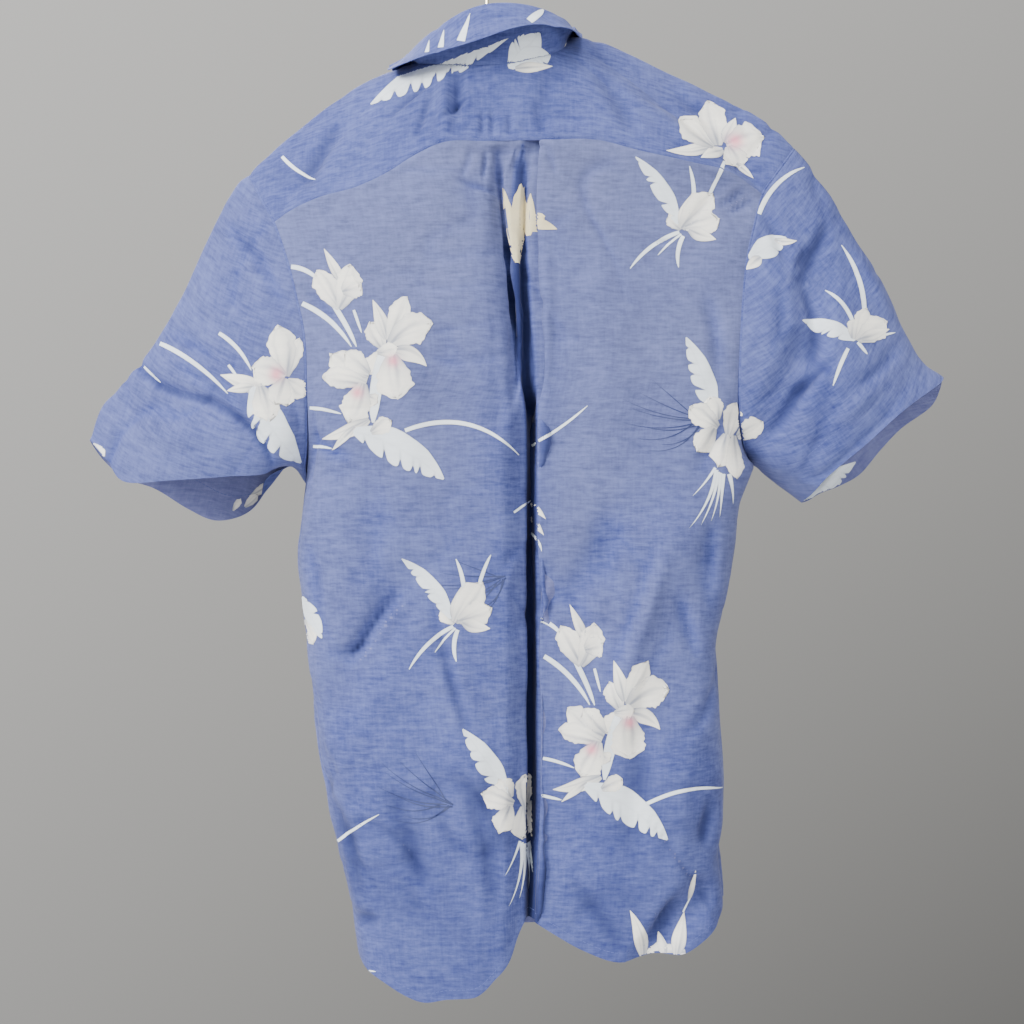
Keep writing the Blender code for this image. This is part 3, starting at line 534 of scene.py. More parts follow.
def sleeve_ends(side, across):
    """A sleeve's armhole and its hem, round from the outer fold along the back to the underarm and back.

    With them come, for each of their points, its share of the way to the underarm, and how far towards
    the front or the back the arm is at its fullest there, from -1 at the back to 1 in front.
    """
    loop, cuff, under = ARMHOLE[side], CUFF[side], CUFF_UNDER[side]
    over = stretch(loop, FRONT_CORNER - len(loop), BACK_CORNER, SHOULDER_ROUND_STEPS * across)
    behind = stretch(loop, BACK_CORNER, ARMPIT, ARMHOLE_STEPS * across)
    before = stretch(loop, ARMPIT, FRONT_CORNER, ARMHOLE_STEPS * across)
    half_over = SHOULDER_ROUND_STEPS * across // 2
    back_side = np.concatenate([over[half_over:], behind[1:]])
    front_side = np.concatenate([before, over[1:half_over + 1]])
    back_share, front_share = shares(back_side), shares(front_side)
    fine_back = stretch(cuff, 0, under, CUFF_STEPS)
    fine_front = stretch(cuff, under, len(cuff), CUFF_STEPS)
    hem_back = read_line(fine_back, shares(fine_back), back_share)
    hem_front = read_line(fine_front, shares(fine_front), front_share)
    top = np.concatenate([back_side, front_side[1:-1]])
    hem = np.concatenate([hem_back, hem_front[1:-1]])
    from_fold = np.concatenate([back_share, 1 - front_share[1:-1]])
    outward = np.concatenate([-np.sin(math.pi * back_share), np.sin(math.pi * front_share[1:-1])])
    return top, hem, from_fold, outward


def sleeve_grid(side, across=1, down=1):
    """A sleeve, as rings from its armhole to its hem: columns run round the arm, rows down it."""
    top, hem, from_fold, outward = sleeve_ends(side, across)
    top = pull_back(top, hem, armpit_gaps(len(top)))
    share = np.linspace(0, 1, SLEEVE_STEPS * down + 1)
    grid = top[:, None, :] + (hem - top)[:, None, :] * share[None, :, None]
    rise = column(SLEEVE_FOLD[side], 1, share)[None, :]
    grid[..., 2] += rise * ((1 - from_fold) ** 2)[:, None]
    grid[..., 1] += SLEEVE_BULGE * outward[:, None] * (4 * share * (1 - share))[None, :]
    on_back = np.clip(-outward, 0, 1)[:, None]
    grid[..., 1] += fold_depth(grid[..., 0], grid[..., 2], SLEEVE_FOLDS[side]) * on_back
    return grid


def armpit_gaps(columns):
    """The gap of a sleeve's first ring, wider under the arm where its wall meets the body's at an angle."""
    turn = np.arange(columns) / columns
    return SEAM_GAP / 2 + ARMPIT_GAP * bell(turn - 0.5, ARMPIT_SPREAD)


def refine(grid, across, down):
    """The smooth surface through a grid's points, with more columns and rows."""
    for finer in (across, down):
        count = len(grid)
        grid = smooth(np.arange(count), grid, np.arange((count - 1) * finer + 1) / finer)
        grid = grid.swapaxes(0, 1)
    return grid


def collar_grid():
    """The collar: at each place on the neck seam, a section up the stand, over the roll and down."""
    table = np.array(COLLAR, float)
    last = len(NECK)
    fine = np.linspace(COLLAR_OPENING, last - COLLAR_OPENING, NECK_STEPS)
    loop = np.array(NECK + NECK[:1], float)
    run = lengths(smooth(np.arange(last + 1), loop, fine))
    place = np.interp(np.linspace(0, run[-1], COLLAR_STEPS + 1), run, fine)
    base = smooth(np.arange(last + 1), loop, place)
    stand, lean, reach, drop = (smooth(table[:, 0], table[:, i], place) for i in range(1, 5))
    away = base * (1, 1, 0) - NECK_CENTRE
    out = unit(away)
    up = np.array([0.0, 0, 1])

    def level(outward, height):
        return base + out * outward[:, None] + up * height[:, None]

    roll = COLLAR_ROLL
    rows = [
        level(stand * 0, stand * 0 + COLLAR_BASE), level(lean * 0.4, stand * 0.5),
        level(lean, stand - roll), level(lean + roll, stand),
        level(lean + 2 * roll, stand - roll),
        level(lean + 2 * roll + (reach - 2 * roll) * 0.45, stand - roll - (drop - roll) * 0.5),
        level(lean + reach, stand - drop),
    ]
    return np.stack(rows, axis=1)


# ---------------------------------------------------------------------------------------------
# Cloth panels
# ---------------------------------------------------------------------------------------------

class Panel:
    """A piece of cloth: a grid of points in millimetres, columns across and rows down.

    u and v are the cloth's own coordinates at each point: the lengths along it, across and down, before
    its creases are pressed in.
    """

    def __init__(self, name, points, within, tube=False, middle=0):
        self.name = name
        self.points = points
        self.tube = tube
        self.middle = middle
        self.face(points - within)
        self.measure()

    def face(self, outward):
        """Takes the normals of the points anew, on the side that the given directions lead to."""
        self.normal = normals(self.points)
        if np.sum(self.normal * outward) < 0:
            self.normal = -self.normal

    def measure(self):
        """Sets the cloth's own coordinates."""
        across = np.linalg.norm(np.diff(self.points, axis=0), axis=2)
        down = np.linalg.norm(np.diff(self.points, axis=1), axis=2)
        self.u = np.concatenate([np.zeros((1, across.shape[1])), np.cumsum(across, axis=0)])
        self.u -= self.u[self.middle]
        self.v = np.concatenate([np.zeros((down.shape[0], 1)), np.cumsum(down, axis=1)], axis=1)

    def move(self, depth):
        """Presses the cloth in along its normals by a depth for each point."""
        self.points = self.points - self.normal * depth[..., None]
        self.face(self.normal)


def thin_out(grid, column_steps, row_steps):
    """Keeps some of a fine grid's lines: for each span of the coarse one, how many steps to keep."""
    def kept(steps):
        lines = [FINE * span + np.arange(count) * (FINE // count) for span, count in enumerate(steps)]
        return np.concatenate(lines + [[FINE * len(steps)]])

    return grid[np.ix_(kept(column_steps), kept(row_steps))]


def lattice_noise(points, size, seed):
    """Smooth noise from -1 to 1 over a cloud of points, with bumps of about the given size."""
    random = np.random.default_rng(seed)
    table = random.uniform(-1, 1, (NOISE_CELLS, NOISE_CELLS, NOISE_CELLS))
    cell = points / size
    low = np.floor(cell).astype(int)
    share = eased(cell - low)
    total = np.zeros(points.shape[:-1])
    for step in np.ndindex(2, 2, 2):
        corner = (low + step) % NOISE_CELLS
        weight = np.prod(np.where(step, share, 1 - share), axis=-1)
        total += weight * table[corner[..., 0], corner[..., 1], corner[..., 2]]
    return total


def bend(start, middle, end, count):
    """Points of a simple curve that passes its start and end and leans to its middle."""
    t = np.linspace(0, 1, count)[:, None]
    start, middle, end = (np.array(p, float) for p in (start, middle, end))
    return (1 - t) ** 2 * start + 2 * t * (1 - t) * middle + t**2 * end


def crease_depth(x, z, creases):
    """How deep the creases press the cloth. Each has a soft lip on both sides of its trough."""
    depth = np.zeros(x.shape)
    for x0, z0, x1, z1, x2, z2, half_width, most in creases:
        count = 3 + int(math.dist((x0, z0), (x2, z2)) / CREASE_STEP)
        line = bend((x0, z0), (x1, z1), (x2, z2), count)
        away = np.full(x.shape, np.inf)
        along = np.zeros(x.shape)
        for step, (px, pz) in enumerate(line):
            distance = np.hypot(x - px, z - pz)
            nearer = distance < away
            away[nearer] = distance[nearer]
            along[nearer] = step / (len(line) - 1)
        fade = np.sin(math.pi * np.clip(along, 0.02, 0.98)) ** CREASE_ENDS
        share = away / half_width
        depth += most * fade * (1 - CREASE_LIP * share**2) * np.exp(-CREASE_FALL * share**2)
    return depth


def crinkle_depth(points, seed):
    """Fine creases along the zero lines of stretched noise, in some places only."""
    depth = np.zeros(points.shape[:-1])
    x, z = points[..., 0], points[..., 2]
    for size, height, width, degrees in CRINKLES:
        angle = math.radians(degrees)
        along = (x * math.cos(angle) + z * math.sin(angle)) / CRINKLE_STRETCH
        aside = z * math.cos(angle) - x * math.sin(angle)
        place = np.stack([along, points[..., 1], aside], axis=-1)
        line = bell(lattice_noise(place, size, seed), width)
        shown = np.clip(lattice_noise(points, 2 * size, seed + 1) * 1.6, 0, 1)
        depth += height * line * shown
        seed += 2
    return depth


def edge_fade(panel, sides, reach):
    """From 0 at the named edges of a panel to 1 at a distance from them."""
    away = {
        "first": panel.u - panel.u[:1], "last": panel.u[-1:] - panel.u,
        "top": panel.v, "bottom": panel.v[:, -1:] - panel.v,
    }
    fade = np.ones(panel.u.shape)
    for side in sides:
        fade = np.minimum(fade, away[side] / reach)
    return eased(np.clip(fade, 0, 1))


def dress(panel):
    """Gives a panel its creases, its unevenness, the groove of its seams and the step of its hem."""
    sewn, waves, hem = MAKING_UP[panel.name]
    inner = edge_fade(panel, sewn, CREASE_FADE)
    uneven = sum(height * lattice_noise(panel.points, *wave) for height, *wave in waves)
    creased = crease_depth(panel.points[..., 0], panel.points[..., 2], CREASES[panel.name])
    pressed = CREASE_STRENGTH * creased + crinkle_depth(panel.points, 1 + len(waves))
    # The crease depths, kept for the painted shade along the creases.
    panel.pressed = pressed * inner
    depth = (pressed + uneven) * inner
    depth += SEAM_GROOVE * (1 - edge_fade(panel, sewn, SEAM_REACH))
    if hem:
        past = edge_fade(panel, ("bottom",), hem)
        depth -= HEM_STEP * (1 - past) ** HEM_SHARPNESS * (past < 1)
    panel.move(depth)


# ---------------------------------------------------------------------------------------------
# Meshes
# ---------------------------------------------------------------------------------------------

def fill_mesh(name, points, quads, slots=None, uv=None, colors=None):
    """A mesh of quads from arrays, in millimetres, with its materials' slots and cloth coordinates."""
    mesh = bpy.data.meshes.new(name)
    mesh.vertices.add(len(points))
    mesh.vertices.foreach_set("co", (points * MM).astype(np.float32).ravel())
    mesh.loops.add(quads.size)
    mesh.loops.foreach_set("vertex_index", quads.astype(np.int32).ravel())
    mesh.polygons.add(len(quads))
    mesh.polygons.foreach_set("loop_start", np.arange(0, quads.size, 4, dtype=np.int32))
    if slots is not None:
        mesh.polygons.foreach_set("material_index", slots.astype(np.int32))
    if uv is not None:
        layer = mesh.uv_layers.new(name="cloth")
        layer.data.foreach_set("uv", (uv * MM).astype(np.float32).ravel())
    if colors is not None:
        ink = mesh.attributes.new("ink", "FLOAT_COLOR", "POINT")
        ink.data.foreach_set("color", np.c_[colors, np.ones(len(colors))].astype(np.float32).ravel())
    mesh.update(calc_edges=True)
    mesh.validate()
    mesh.shade_smooth()
    return mesh


def grid_quads(columns, rows):
    """The faces of a grid of points, numbered column by column."""
    i = np.arange(columns - 1)[:, None]
    j = np.arange(rows - 1)[None, :]
    near, far = i * rows + j, (i + 1) * rows + j
    return np.stack([near, near + 1, far + 1, far], axis=-1).reshape(-1, 4)


def rim_quads(line, offset):
    """The faces that join the two sides of a shell along a line of its points."""
    return np.stack([line[:-1], line[:-1] + offset, line[1:] + offset, line[1:]], axis=-1)


def faces_out(points, quads, normal):
    """The faces turned so that the first of them looks along its normal."""
    a, b, c = points[quads[0, :3]]
    return quads if np.dot(np.cross(b - a, c - b), normal) > 0 else quads[:, ::-1]


def cloth_object(panel, outside, inside):
    """A thin shell on a panel's form, which shows one finish outside and another inside."""
    columns, rows = panel.points.shape[:2]
    count = columns * rows
    number = np.arange(count).reshape(columns, rows)
    lines = [number[:, 0], number[:, -1][::-1]]
    if not panel.tube:
        lines += [number[0][::-1], number[-1]]
    front = grid_quads(columns, rows)
    back = front[:, ::-1] + count
    rim = np.concatenate([rim_quads(line, count) for line in lines])
    quads = np.concatenate([front, back, rim])
    slots = np.repeat([0, 1, 0], [len(front), len(back), len(rim)])
    half = panel.normal * THREAD_WALL / 2
    both = np.concatenate([(panel.points + half).reshape(-1, 3), (panel.points - half).reshape(-1, 3)])
    quads = faces_out(both, quads, panel.normal.reshape(-1, 3)[quads[0, 0]])
    uv = np.stack([panel.u, panel.v], axis=-1).reshape(-1, 2)
    uv = np.concatenate([uv, uv])[quads.ravel()]
    if panel.tube:
        quads, both = weld_tube(quads, both, columns, rows)
    mesh = fill_mesh(panel.name, both, quads, slots, uv)
    mark_rim(mesh, len(front) + len(back))
    mesh.materials.append(outside)
    mesh.materials.append(inside)
    return link(panel.name, mesh)


def weld_tube(quads, points, columns, rows):
    """A tube's last column is its first one again, so its faces use the first one's points."""
    side, place = np.divmod(quads, columns * rows)
    column, row = np.divmod(place, rows)
    quads = side * (columns - 1) * rows + column % (columns - 1) * rows + row
    points = points.reshape(2, columns, rows, 3)[:, :-1].reshape(-1, 3)
    return quads, points


def mark_rim(mesh, first):
    """Keeps the edges of a shell's rim sharp, so that its thin edge doesn't darken the cloth beside it."""
    corners = np.zeros(len(mesh.loops), np.int32)
    mesh.loops.foreach_get("edge_index", corners)
    sharp = np.zeros(len(mesh.edges), bool)
    sharp[corners[first * 4:]] = True
    mesh.attributes.new("sharp_edge", "BOOLEAN", "EDGE").data.foreach_set("value", sharp)


def link(name, data):
    """A new object in the scene."""
    made = bpy.data.objects.new(name, data)
    bpy.context.scene.collection.objects.link(made)
    return made


# ---------------------------------------------------------------------------------------------
# Colours
# ---------------------------------------------------------------------------------------------

def linear(red, green, blue):
    """A colour given as 0 to 255 on a screen, as the shader takes it."""
    values = np.array([red, green, blue]) / 255
    return np.where(values <= 0.04045, values / 12.92, ((values + 0.055) / 1.055) ** 2.4)


# The print
CREAM, COOL, SHADOW = linear(253, 250, 240), linear(234, 243, 250), linear(140, 146, 162)
PINK, INK_BLUE, OLD_CREAM = linear(240, 140, 162), linear(46, 54, 96), linear(222, 210, 172)
# The cloth: its outer and its inner side, and its deeper blue, for unfaded dye and for painted shade
BLUE_DEEP, BLUE_LIGHT, BLUE_GREY = linear(40, 50, 112), linear(101, 112, 172), linear(98, 105, 148)
INSIDE_DEEP, INSIDE_LIGHT = linear(74, 79, 134), linear(118, 123, 170)
UNFADED_AND_SHADE, THREAD = linear(36, 44, 90), linear(77, 88, 148)
# Buttons, hanger and stage
# The button holes are flat dark discs: painted shade.
PEARL_DARK, PEARL_LIGHT, HOLE_SHADE = linear(206, 208, 214), linear(238, 240, 242), linear(60, 62, 72)
WOOD_DARK, WOOD_LIGHT, STEEL = linear(150, 108, 68), linear(196, 156, 108), linear(158, 150, 128)
FLOOR_COLOR = linear(196, 194, 190)
WALL_COLOR = (0.56, 0.552, 0.535)


# ---------------------------------------------------------------------------------------------
# The print
# ---------------------------------------------------------------------------------------------

# How wide each shape of a motif is along its length, as shares of its half width.
PROFILES = {
    "petal": (0.3, 0.58, 0.84, 1.0, 1.06, 0.98, 0.6),
    "pointed": (0.35, 0.8, 1.0, 0.92, 0.7, 0.4, 0.04),
    "leaf": (0.3, 0.8, 1.0, 0.94, 0.74, 0.46, 0.05),
    "stem": (0.9, 1.0, 1.0, 0.95, 0.85, 0.65, 0.2),
    "spike": (1.0, 0.9, 0.75, 0.58, 0.42, 0.26, 0.03),
}
TINTS = {"petal": CREAM, "pointed": CREAM, "leaf": COOL, "stem": COOL, "spike": COOL}
LEAF_TEAR = 15
LEAF_SWEEP = 0.55
PETAL_ROUND = 0.3
PETAL_EDGE = ((0.1, 14, 22), (0.07, 34, 46))  # height, least and most ripples
PETAL_TIP = ((0.12, 5, 8), (0.08, 13, 18))
PRINT_UNIT = 0.8
PRINT_STEP = 1.0
PRINT_LIFT = 0.26
PRINT_LAYER = 0.01
PRINT_LEAST_FACING = 0.12
PRINT_MOST_STEP = 4.5
OUT_OF_SIGHT = 5000
EYE_AWAY = 400


def blade(kind, x0, y0, x1, y1, half_width, bow=0.0, seed=0):
    """One petal, leaf or stem from base to tip, with y down: a grid of flat points, each coloured.

    Its middle lies to the left of the straight way by the bow. A leaf is torn along its left side or,
    with a negative half width, along its right one.
    """
    random = np.random.default_rng(seed)
    length = math.hypot(x1 - x0, y1 - y0)
    t = np.linspace(0, 1, max(6, int(length * PRINT_UNIT / PRINT_STEP)) + 1)
    left_hand = np.array([y1 - y0, x0 - x1]) / length
    middle = np.array([x0 + x1, y0 + y1]) / 2 + left_hand * 2 * bow
    line = bend((x0, y0), middle, (x1, y1), len(t))
    ahead = unit(np.gradient(line, axis=0))
    aside = np.stack([ahead[:, 1], -ahead[:, 0]], axis=1)
    tears = tear_places(length, random) if kind == "leaf" else np.zeros(0)
    left, right = blade_sides(kind, t, half_width, tears, random)
    across = max(3, int(2 * abs(half_width) * PRINT_UNIT / PRINT_STEP / 1.3))
    s = np.linspace(-1, 1, across + 1)
    out = np.where(s >= 0, s * left[:, None], s * right[:, None])
    sweep = 0 * out
    if kind == "leaf":
        sweep = LEAF_SWEEP * np.abs(out)
    if kind == "petal":
        sweep = abs(half_width) * ripples(s, PETAL_TIP, random) * (t**3)[:, None]
    points = line[:, None] + aside[:, None] * out[..., None] + ahead[:, None] * sweep[..., None]
    torn_side = np.sign(half_width) * s
    return points, blade_colors(kind, t[:, None], s[None, :], tears, torn_side[None, :], random)


def ripples(place, kinds, random):
    """Waves along a place, with a random number of them and a random start for each kind."""
    return sum(
        height * np.sin(random.uniform(least, most) * place + random.uniform(0, 6.3))
        for height, least, most in kinds
    )


def blade_sides(kind, t, half_width, tears, random):
    """How far a blade reaches to its left and to its right, along its length."""
    profile = PROFILES[kind]
    width = abs(half_width) * smooth(np.linspace(0, 1, len(profile)), profile, t)
    left, right = width.copy(), width.copy()
    if kind == "petal":
        end = np.clip((t - 1 + PETAL_ROUND) / PETAL_ROUND, 0, 1)
        for edge in (left, right):
            edge *= np.sqrt(1 - end**2) * (1 + ripples(t, PETAL_EDGE, random) * t)
    if kind == "leaf":
        left *= torn(t, tears, random)
        right *= 1 - 0.07 * np.abs(np.sin(8 * t + 1))
    return (right, left) if half_width < 0 else (left, right)


def tear_places(length, random):
    """Where a leaf is torn, as shares of its length."""
    count = max(2, int(length * PRINT_UNIT / LEAF_TEAR) + 1)
    return 0.1 + 0.85 * (np.arange(count) + random.uniform(0.0, 0.9, count)) / count


def torn(t, tears, random):
    """A leaf's torn side: each lobe swells and ends at a tear, and some tears cut far in."""
    side = np.ones(t.shape)
    start = 0.0
    for place in tears:
        lobe = np.clip((t - start) / (place - start), 0, 1)
        side *= np.where((t >= start) & (t < place), 0.78 + 0.26 * np.sin(0.75 * math.pi * lobe + 0.3), 1)
        deep = random.uniform(0.15, 0.85)
        side *= 1 - deep * bell(t - place, 0.018)
        start = place
    return side


def blade_colors(kind, t, s, tears, torn_side, random):
    """Grey folds on a petal, faint ribs and slits on a leaf, and a slightly darker rim on each."""
    shade = 0 * t * s
    if kind in ("petal", "pointed"):
        fold = random.uniform(-0.45, 0.45)
        drift = random.uniform(-0.3, 0.3)
        shade = shade + 0.5 * bell(t, 0.3)
        shade = shade + 0.62 * bell(s - fold - drift * t, 0.16) * (1 - t**2)
        shade = shade + 0.4 * bell(s + fold + drift * t, 0.1) * (1 - t)
        shade = shade + 0.34 * np.clip(np.sign(fold) * s, 0, 1) * (1 - 0.6 * t)
        shade = shade + 0.16 * np.clip(np.sin(9 * s + 8 * fold), 0, 1) * t**2
    if kind == "leaf":
        shade = shade + 0.1 + 0.1 * bell(s, 0.1)
        for place in tears:
            slit = bell(t - place, 0.016) * np.clip(torn_side, 0, 1) ** 0.6
            shade = shade + 0.4 * slit
    rim = np.clip((np.maximum(np.abs(s), t) - 0.86) / 0.14, 0, 1) ** 2
    shade = np.clip(shade + 0.2 * rim, 0, 0.9)[..., None]
    return TINTS[kind] * (1 - shade) + SHADOW * shade


# Motifs in units of PRINT_UNIT, y down: kind, base x, y, tip x, y, half width and, where there is
# one, bow.
MOTIFS = {
    "cluster": (
        ("stem", -87, -107, -58, -92, 2.4, 3), ("stem", -75, -69, -24, -24, 2.6, 5),
        ("stem", -42, -66, -19, -24, 2.6, 1), ("stem", -22, -61, -14, -38, 1.5),
        ("petal", -36, -63, -60, -101, 11), ("pointed", -33, -88, -53, -124, 5),
        ("petal", -37, -63, -26, -106, 12, -3), ("petal", -34, -80, -16, -88, 12),
        ("petal", 8, -22, -5, -48, 10), ("petal", 10, -20, -6, 3, 10), ("stem", 8, -14, -2, 52, 6.5, -2),
        ("pointed", 11, -31, -3, -71, 7, -1), ("petal", 14, -30, 31, -73, 10, 1),
        ("petal", 15, -26, 55, -46, 15, 4), ("pointed", 19, -19, 51, -4, 8, 4),
        ("petal", 17, -16, 22, 27, 17, -1), ("petal", 2, -18, 22, -22, 7),
        ("petal", -7, 7, -45, -17, 12, 2), ("petal", -6, 3, -30, -18, 10),
        ("petal", -9, 13, -52, 6, 10, -2), ("petal", -8, 26, 2, 32, 7), ("petal", -12, 13, -26, 50, 14, 1),
        ("stem", -67, 36, -34, 43, 1.7, 1), ("stem", -65, 74, -44, 77, 1.6),
        ("pointed", -6, 49, -54, 67, 7, 3), ("pointed", -20, 56, -44, 79, 4),
        ("leaf", -22, 60, 68, 108, -17, 6), ("petal", -4, 62, 16, 50, 8),
    ),
    "spray": (
        ("stem", -10, 20, -60, 58, 2.1, -5), ("stem", -8, 22, -32, 44, 1.2, -1),
        ("stem", -6, 24, -11, 56, 2.2, -3), ("stem", 5, -10, 1, -48, 2.2, -2),
        ("stem", 21, -18, 37, -48, 1.9, 1), ("petal", -8, 17, -20, 2, 8),
        ("leaf", -11, 12, -54, -55, 9, -5), ("pointed", -8, 14, 3, -19, 7),
        ("petal", -8, 16, 24, -20, 13, 1), ("petal", -4, 15, 30, 6, 12), ("pointed", 0, 17, 27, 27, 7, -1),
    ),
    "fan": (
        ("spike", 0, 38, -23, 66, 1.5, 1), ("spike", 1, 40, -27, 98, 2.1, 5),
        ("spike", 3, 42, -15, 95, 1.9, 3), ("spike", 5, 43, -4, 91, 1.8, 2), ("spike", 8, 44, 5, 87, 2.2),
        ("spike", 14, 44, 19, 74, 2.4, 1), ("leaf", -2, -12, -29, -92, 12, -3),
        ("petal", 2, -10, -5, -32, 10), ("petal", 3, -3, -25, -22, 11), ("petal", -1, -2, -18, 21, 11),
        ("petal", 14, 6, 22, -27, 10), ("petal", 24, 6, 49, -9, 10), ("petal", 12, 4, 3, 36, 11),
        ("petal", 20, 5, 22, 48, 9, -1),
    ),
    "orchid": (
        ("stem", 6, 29, -5, 52, 1.8), ("pointed", -8, 14, -55, 22, 6.5, 2), ("pointed", 6, 14, -19, 27, 7),
        ("petal", -4, 12, -37, -18, 15, 2), ("petal", 1, 10, -8, -38, 14, -1),
        ("pointed", 8, 6, 21, -22, 7.5), ("petal", 10, 9, 48, -2, 18), ("petal", 12, 10, 22, 32, 13),
        ("pointed", 20, 28, 37, 44, 4),
    ),
    "orchid and leaf": (
        ("stem", -58, -59, -23, -20, 2.1, 4), ("stem", -125, -52, -47, 3, 2.4, 5),
        ("stem", -47, -26, -36, -12, 1.5), ("pointed", -10, 1, -55, -16, 8, -1),
        ("pointed", -20, -4, -48, 0, 5), ("leaf", -21, -4, 23, 71, -18, -5), ("petal", -14, -4, -4, 30, 13),
        ("petal", 13, -14, 25, -52, 8, 1), ("petal", 11, -14, 4, -64, 13, -1),
        ("petal", 13, -10, 31, 5, 10), ("petal", 12, -10, 12, 15, 8), ("petal", 11, -14, -21, -23, 14),
        ("petal", 11, -12, 2, 14, 11),
    ),
    "side spray": (
        ("stem", -2, -20, -28, -52, 2.4, -4), ("stem", 13, -33, -8, -101, 2.8, -6),
        ("stem", -9, 9, -26, 47, 2.0, -1), ("stem", 2, 2, 12, 14, 2.0), ("stem", 20, -4, 47, -11, 1.4),
        ("leaf", 0, 0, -54, -20, 9, -2), ("petal", -3, -1, 2, -22, 8), ("petal", 0, 0, 16, -34, 9),
        ("petal", 2, 0, 37, -22, 12), ("pointed", 6, -2, 40, -14, 6),
    ),
    "big leaf": (("leaf", 80, -32, -62, 28, 20, -6), ("leaf", 60, -16, -6, 6, 9, -2)),
    "split leaf": (
        ("leaf", -18, 14, 10, -18, 13), ("leaf", -16, 12, 20, 0, -12, 1), ("pointed", -12, 14, 22, 10, 5),
    ),
    "spikes": (
        ("spike", -17, 12, -15, -3, 2.3), ("spike", -3, 9, 0, -11, 3.1), ("spike", 17, 5, 26, -25, 4.3),
    ),
    "corner leaf": (
        ("leaf", -20, 8, 20, -16, -12, 1), ("pointed", -8, 6, -23, 19, 6),
        ("pointed", 8, -14, 31, -13, 4, -2),
    ),
    "low flower": (
        ("pointed", 25, -27, 31, -59, 3.2, -1), ("stem", 19, -16, 27, -30, 1.0),
        ("petal", 20, 20, -18, 22, 8), ("pointed", 11, 24, 20, -16, 7), ("pointed", 0, 24, -6, 2, 5),
        ("pointed", -22, 26, -35, -22, 7, -3),
    ),
    "side bud": (("leaf", -10, -22, 14, 18, 9), ("petal", -8, 2, 4, 24, 8)),
    "frond": (
        ("spike", 0, 0, -62, 4, 0.8, 6), ("spike", 0, -2, -74, -14, 0.7, 4),
        ("spike", 0, -2, -66, -30, 0.7, 2), ("spike", -2, 0, -46, 22, 0.8, 8),
        ("spike", -8, -4, -52, -42, 0.6), ("spike", -12, 2, -68, 16, 0.7, 7),
        ("spike", -4, -3, -84, -24, 0.6, 5), ("spike", -4, 0, -58, 28, 0.6, 11),
        ("spike", -6, 0, -82, 0, 0.6, 6),
    ),
    "scraps": (
        ("pointed", -12, -22, 2, -6, 3), ("pointed", -12, -8, 0, 10, 3), ("stem", -12, 8, -2, 26, 1.2, 2),
    ),
    "pleat flower": (
        ("pointed", 4, 38, -9, -37, 6, -1), ("petal", 5, 40, 9, -40, 7), ("pointed", 1, 14, 12, -38, 5),
        ("pointed", 17, 12, 19, -30, 6), ("petal", 14, 6, 32, -4, 8), ("pointed", 20, 2, 45, 8, 5, 1),
    ),
    "cuff leaf": (("leaf", -32, 24, 34, -22, -10), ("leaf", -20, 14, 20, -12, -9, 1)),
    "cuff scraps": (
        ("petal", -10, 6, 10, -6, 5), ("petal", -16, 18, -3, 5, 5), ("petal", -29, 22, -21, 9, 3.4),
    ),
    "corner scrap": (("petal", -8, -7, 6, 6, 5),),
    "collar stem": (("stem", -7, 8, 7, -8, 4),),
}
# Where a motif has a pink throat: x, y and radius.
THROATS = {
    "cluster": ((18, -9, 6), (-18, 22, 6)), "orchid": ((20, 4, 8),), "orchid and leaf": ((2, -16, 7),),
}
# Motifs of one colour all over.
DYES = {"frond": INK_BLUE, "pleat flower": OLD_CREAM}

# The side of the cloth that a motif lies on, on the collar and elsewhere: 1 is the outer one. The
# collar's stand, under its fall, shows its inner side, and so do the far sides of the cuffs.
OUTER = (1, 1)
SIDES = {"big leaf": (-1, 1), "split leaf": (-1, 1), "cuff leaf": (-1, -1), "cuff scraps": (-1, -1)}

# Where the motifs lie: motif, x, z and, where they aren't as in PLACED, turn in degrees to the left, size,
# and the least and the most x that show, as the pleat's edge hides the rest.
PLACED = (0, 1.0, -999, 999)
SEEDS_EACH = 100
BACK_PRINT = (
    ("frond", 174, -408), ("frond", 16, -532, 20, 0.9), ("frond", -26, -712, -16), ("cluster", -88, -367),
    ("spray", 163, -239), ("fan", 183, -414), ("spray", -20, -554, 7, 0.97),
    ("cluster", 99, -652, -5, 0.96, 43), ("fan", 20, -714, 14, 0.95, -999, 38), ("side bud", -142, -566),
    ("low flower", 142, -812), ("orchid", 189, -171), ("big leaf", -45, -123),
    ("split leaf", 34, -112, 0, 1.1), ("spikes", -33, -105), ("orchid and leaf", -170, -382),
    ("side spray", 298, -341), ("corner leaf", 228, -269), ("scraps", 46, -490),
    ("scraps", -104, -836, 80, 0.9), ("pleat flower", 20.8, -247.8), ("cuff leaf", 287, -456, 0, 1.1),
    ("cuff scraps", -196, -461), ("corner scrap", -319, -429), ("collar stem", 40, -87),
)
# Thin stems that run free: x, z of both ends, half width, bow.
BACK_STEMS = (
    (-64, -415, 26, -434, 2.2, 19), (37, -426, 81, -395, 1.5, -2), (126, -712, 192, -704, 1.9, 9),
    (-119, -744, -84, -718, 1.5, 2), (-169, -186, -139, -209, 1.9, -3), (222, -237, 263, -194, 2.4, 8),
    (22, -480, 36, -470, 1.2, 0), (-284, -359, -268, -373, 1.5, 0),
)
FRONT_PRINT = (
    ("cluster", 96, -330), ("spray", -60, -300, 6), ("fan", -84, -470, -6), ("orchid", 120, -520, 12, 0.95),
    ("cluster", -52, -660, 5, 0.96), ("spray", 104, -706, -6), ("orchid and leaf", 292, -330, 0, 0.95),
    ("side spray", -232, -330, -10, 0.95), ("frond", -40, -420), ("frond", 140, -610),
    ("low flower", 66, -806),
)


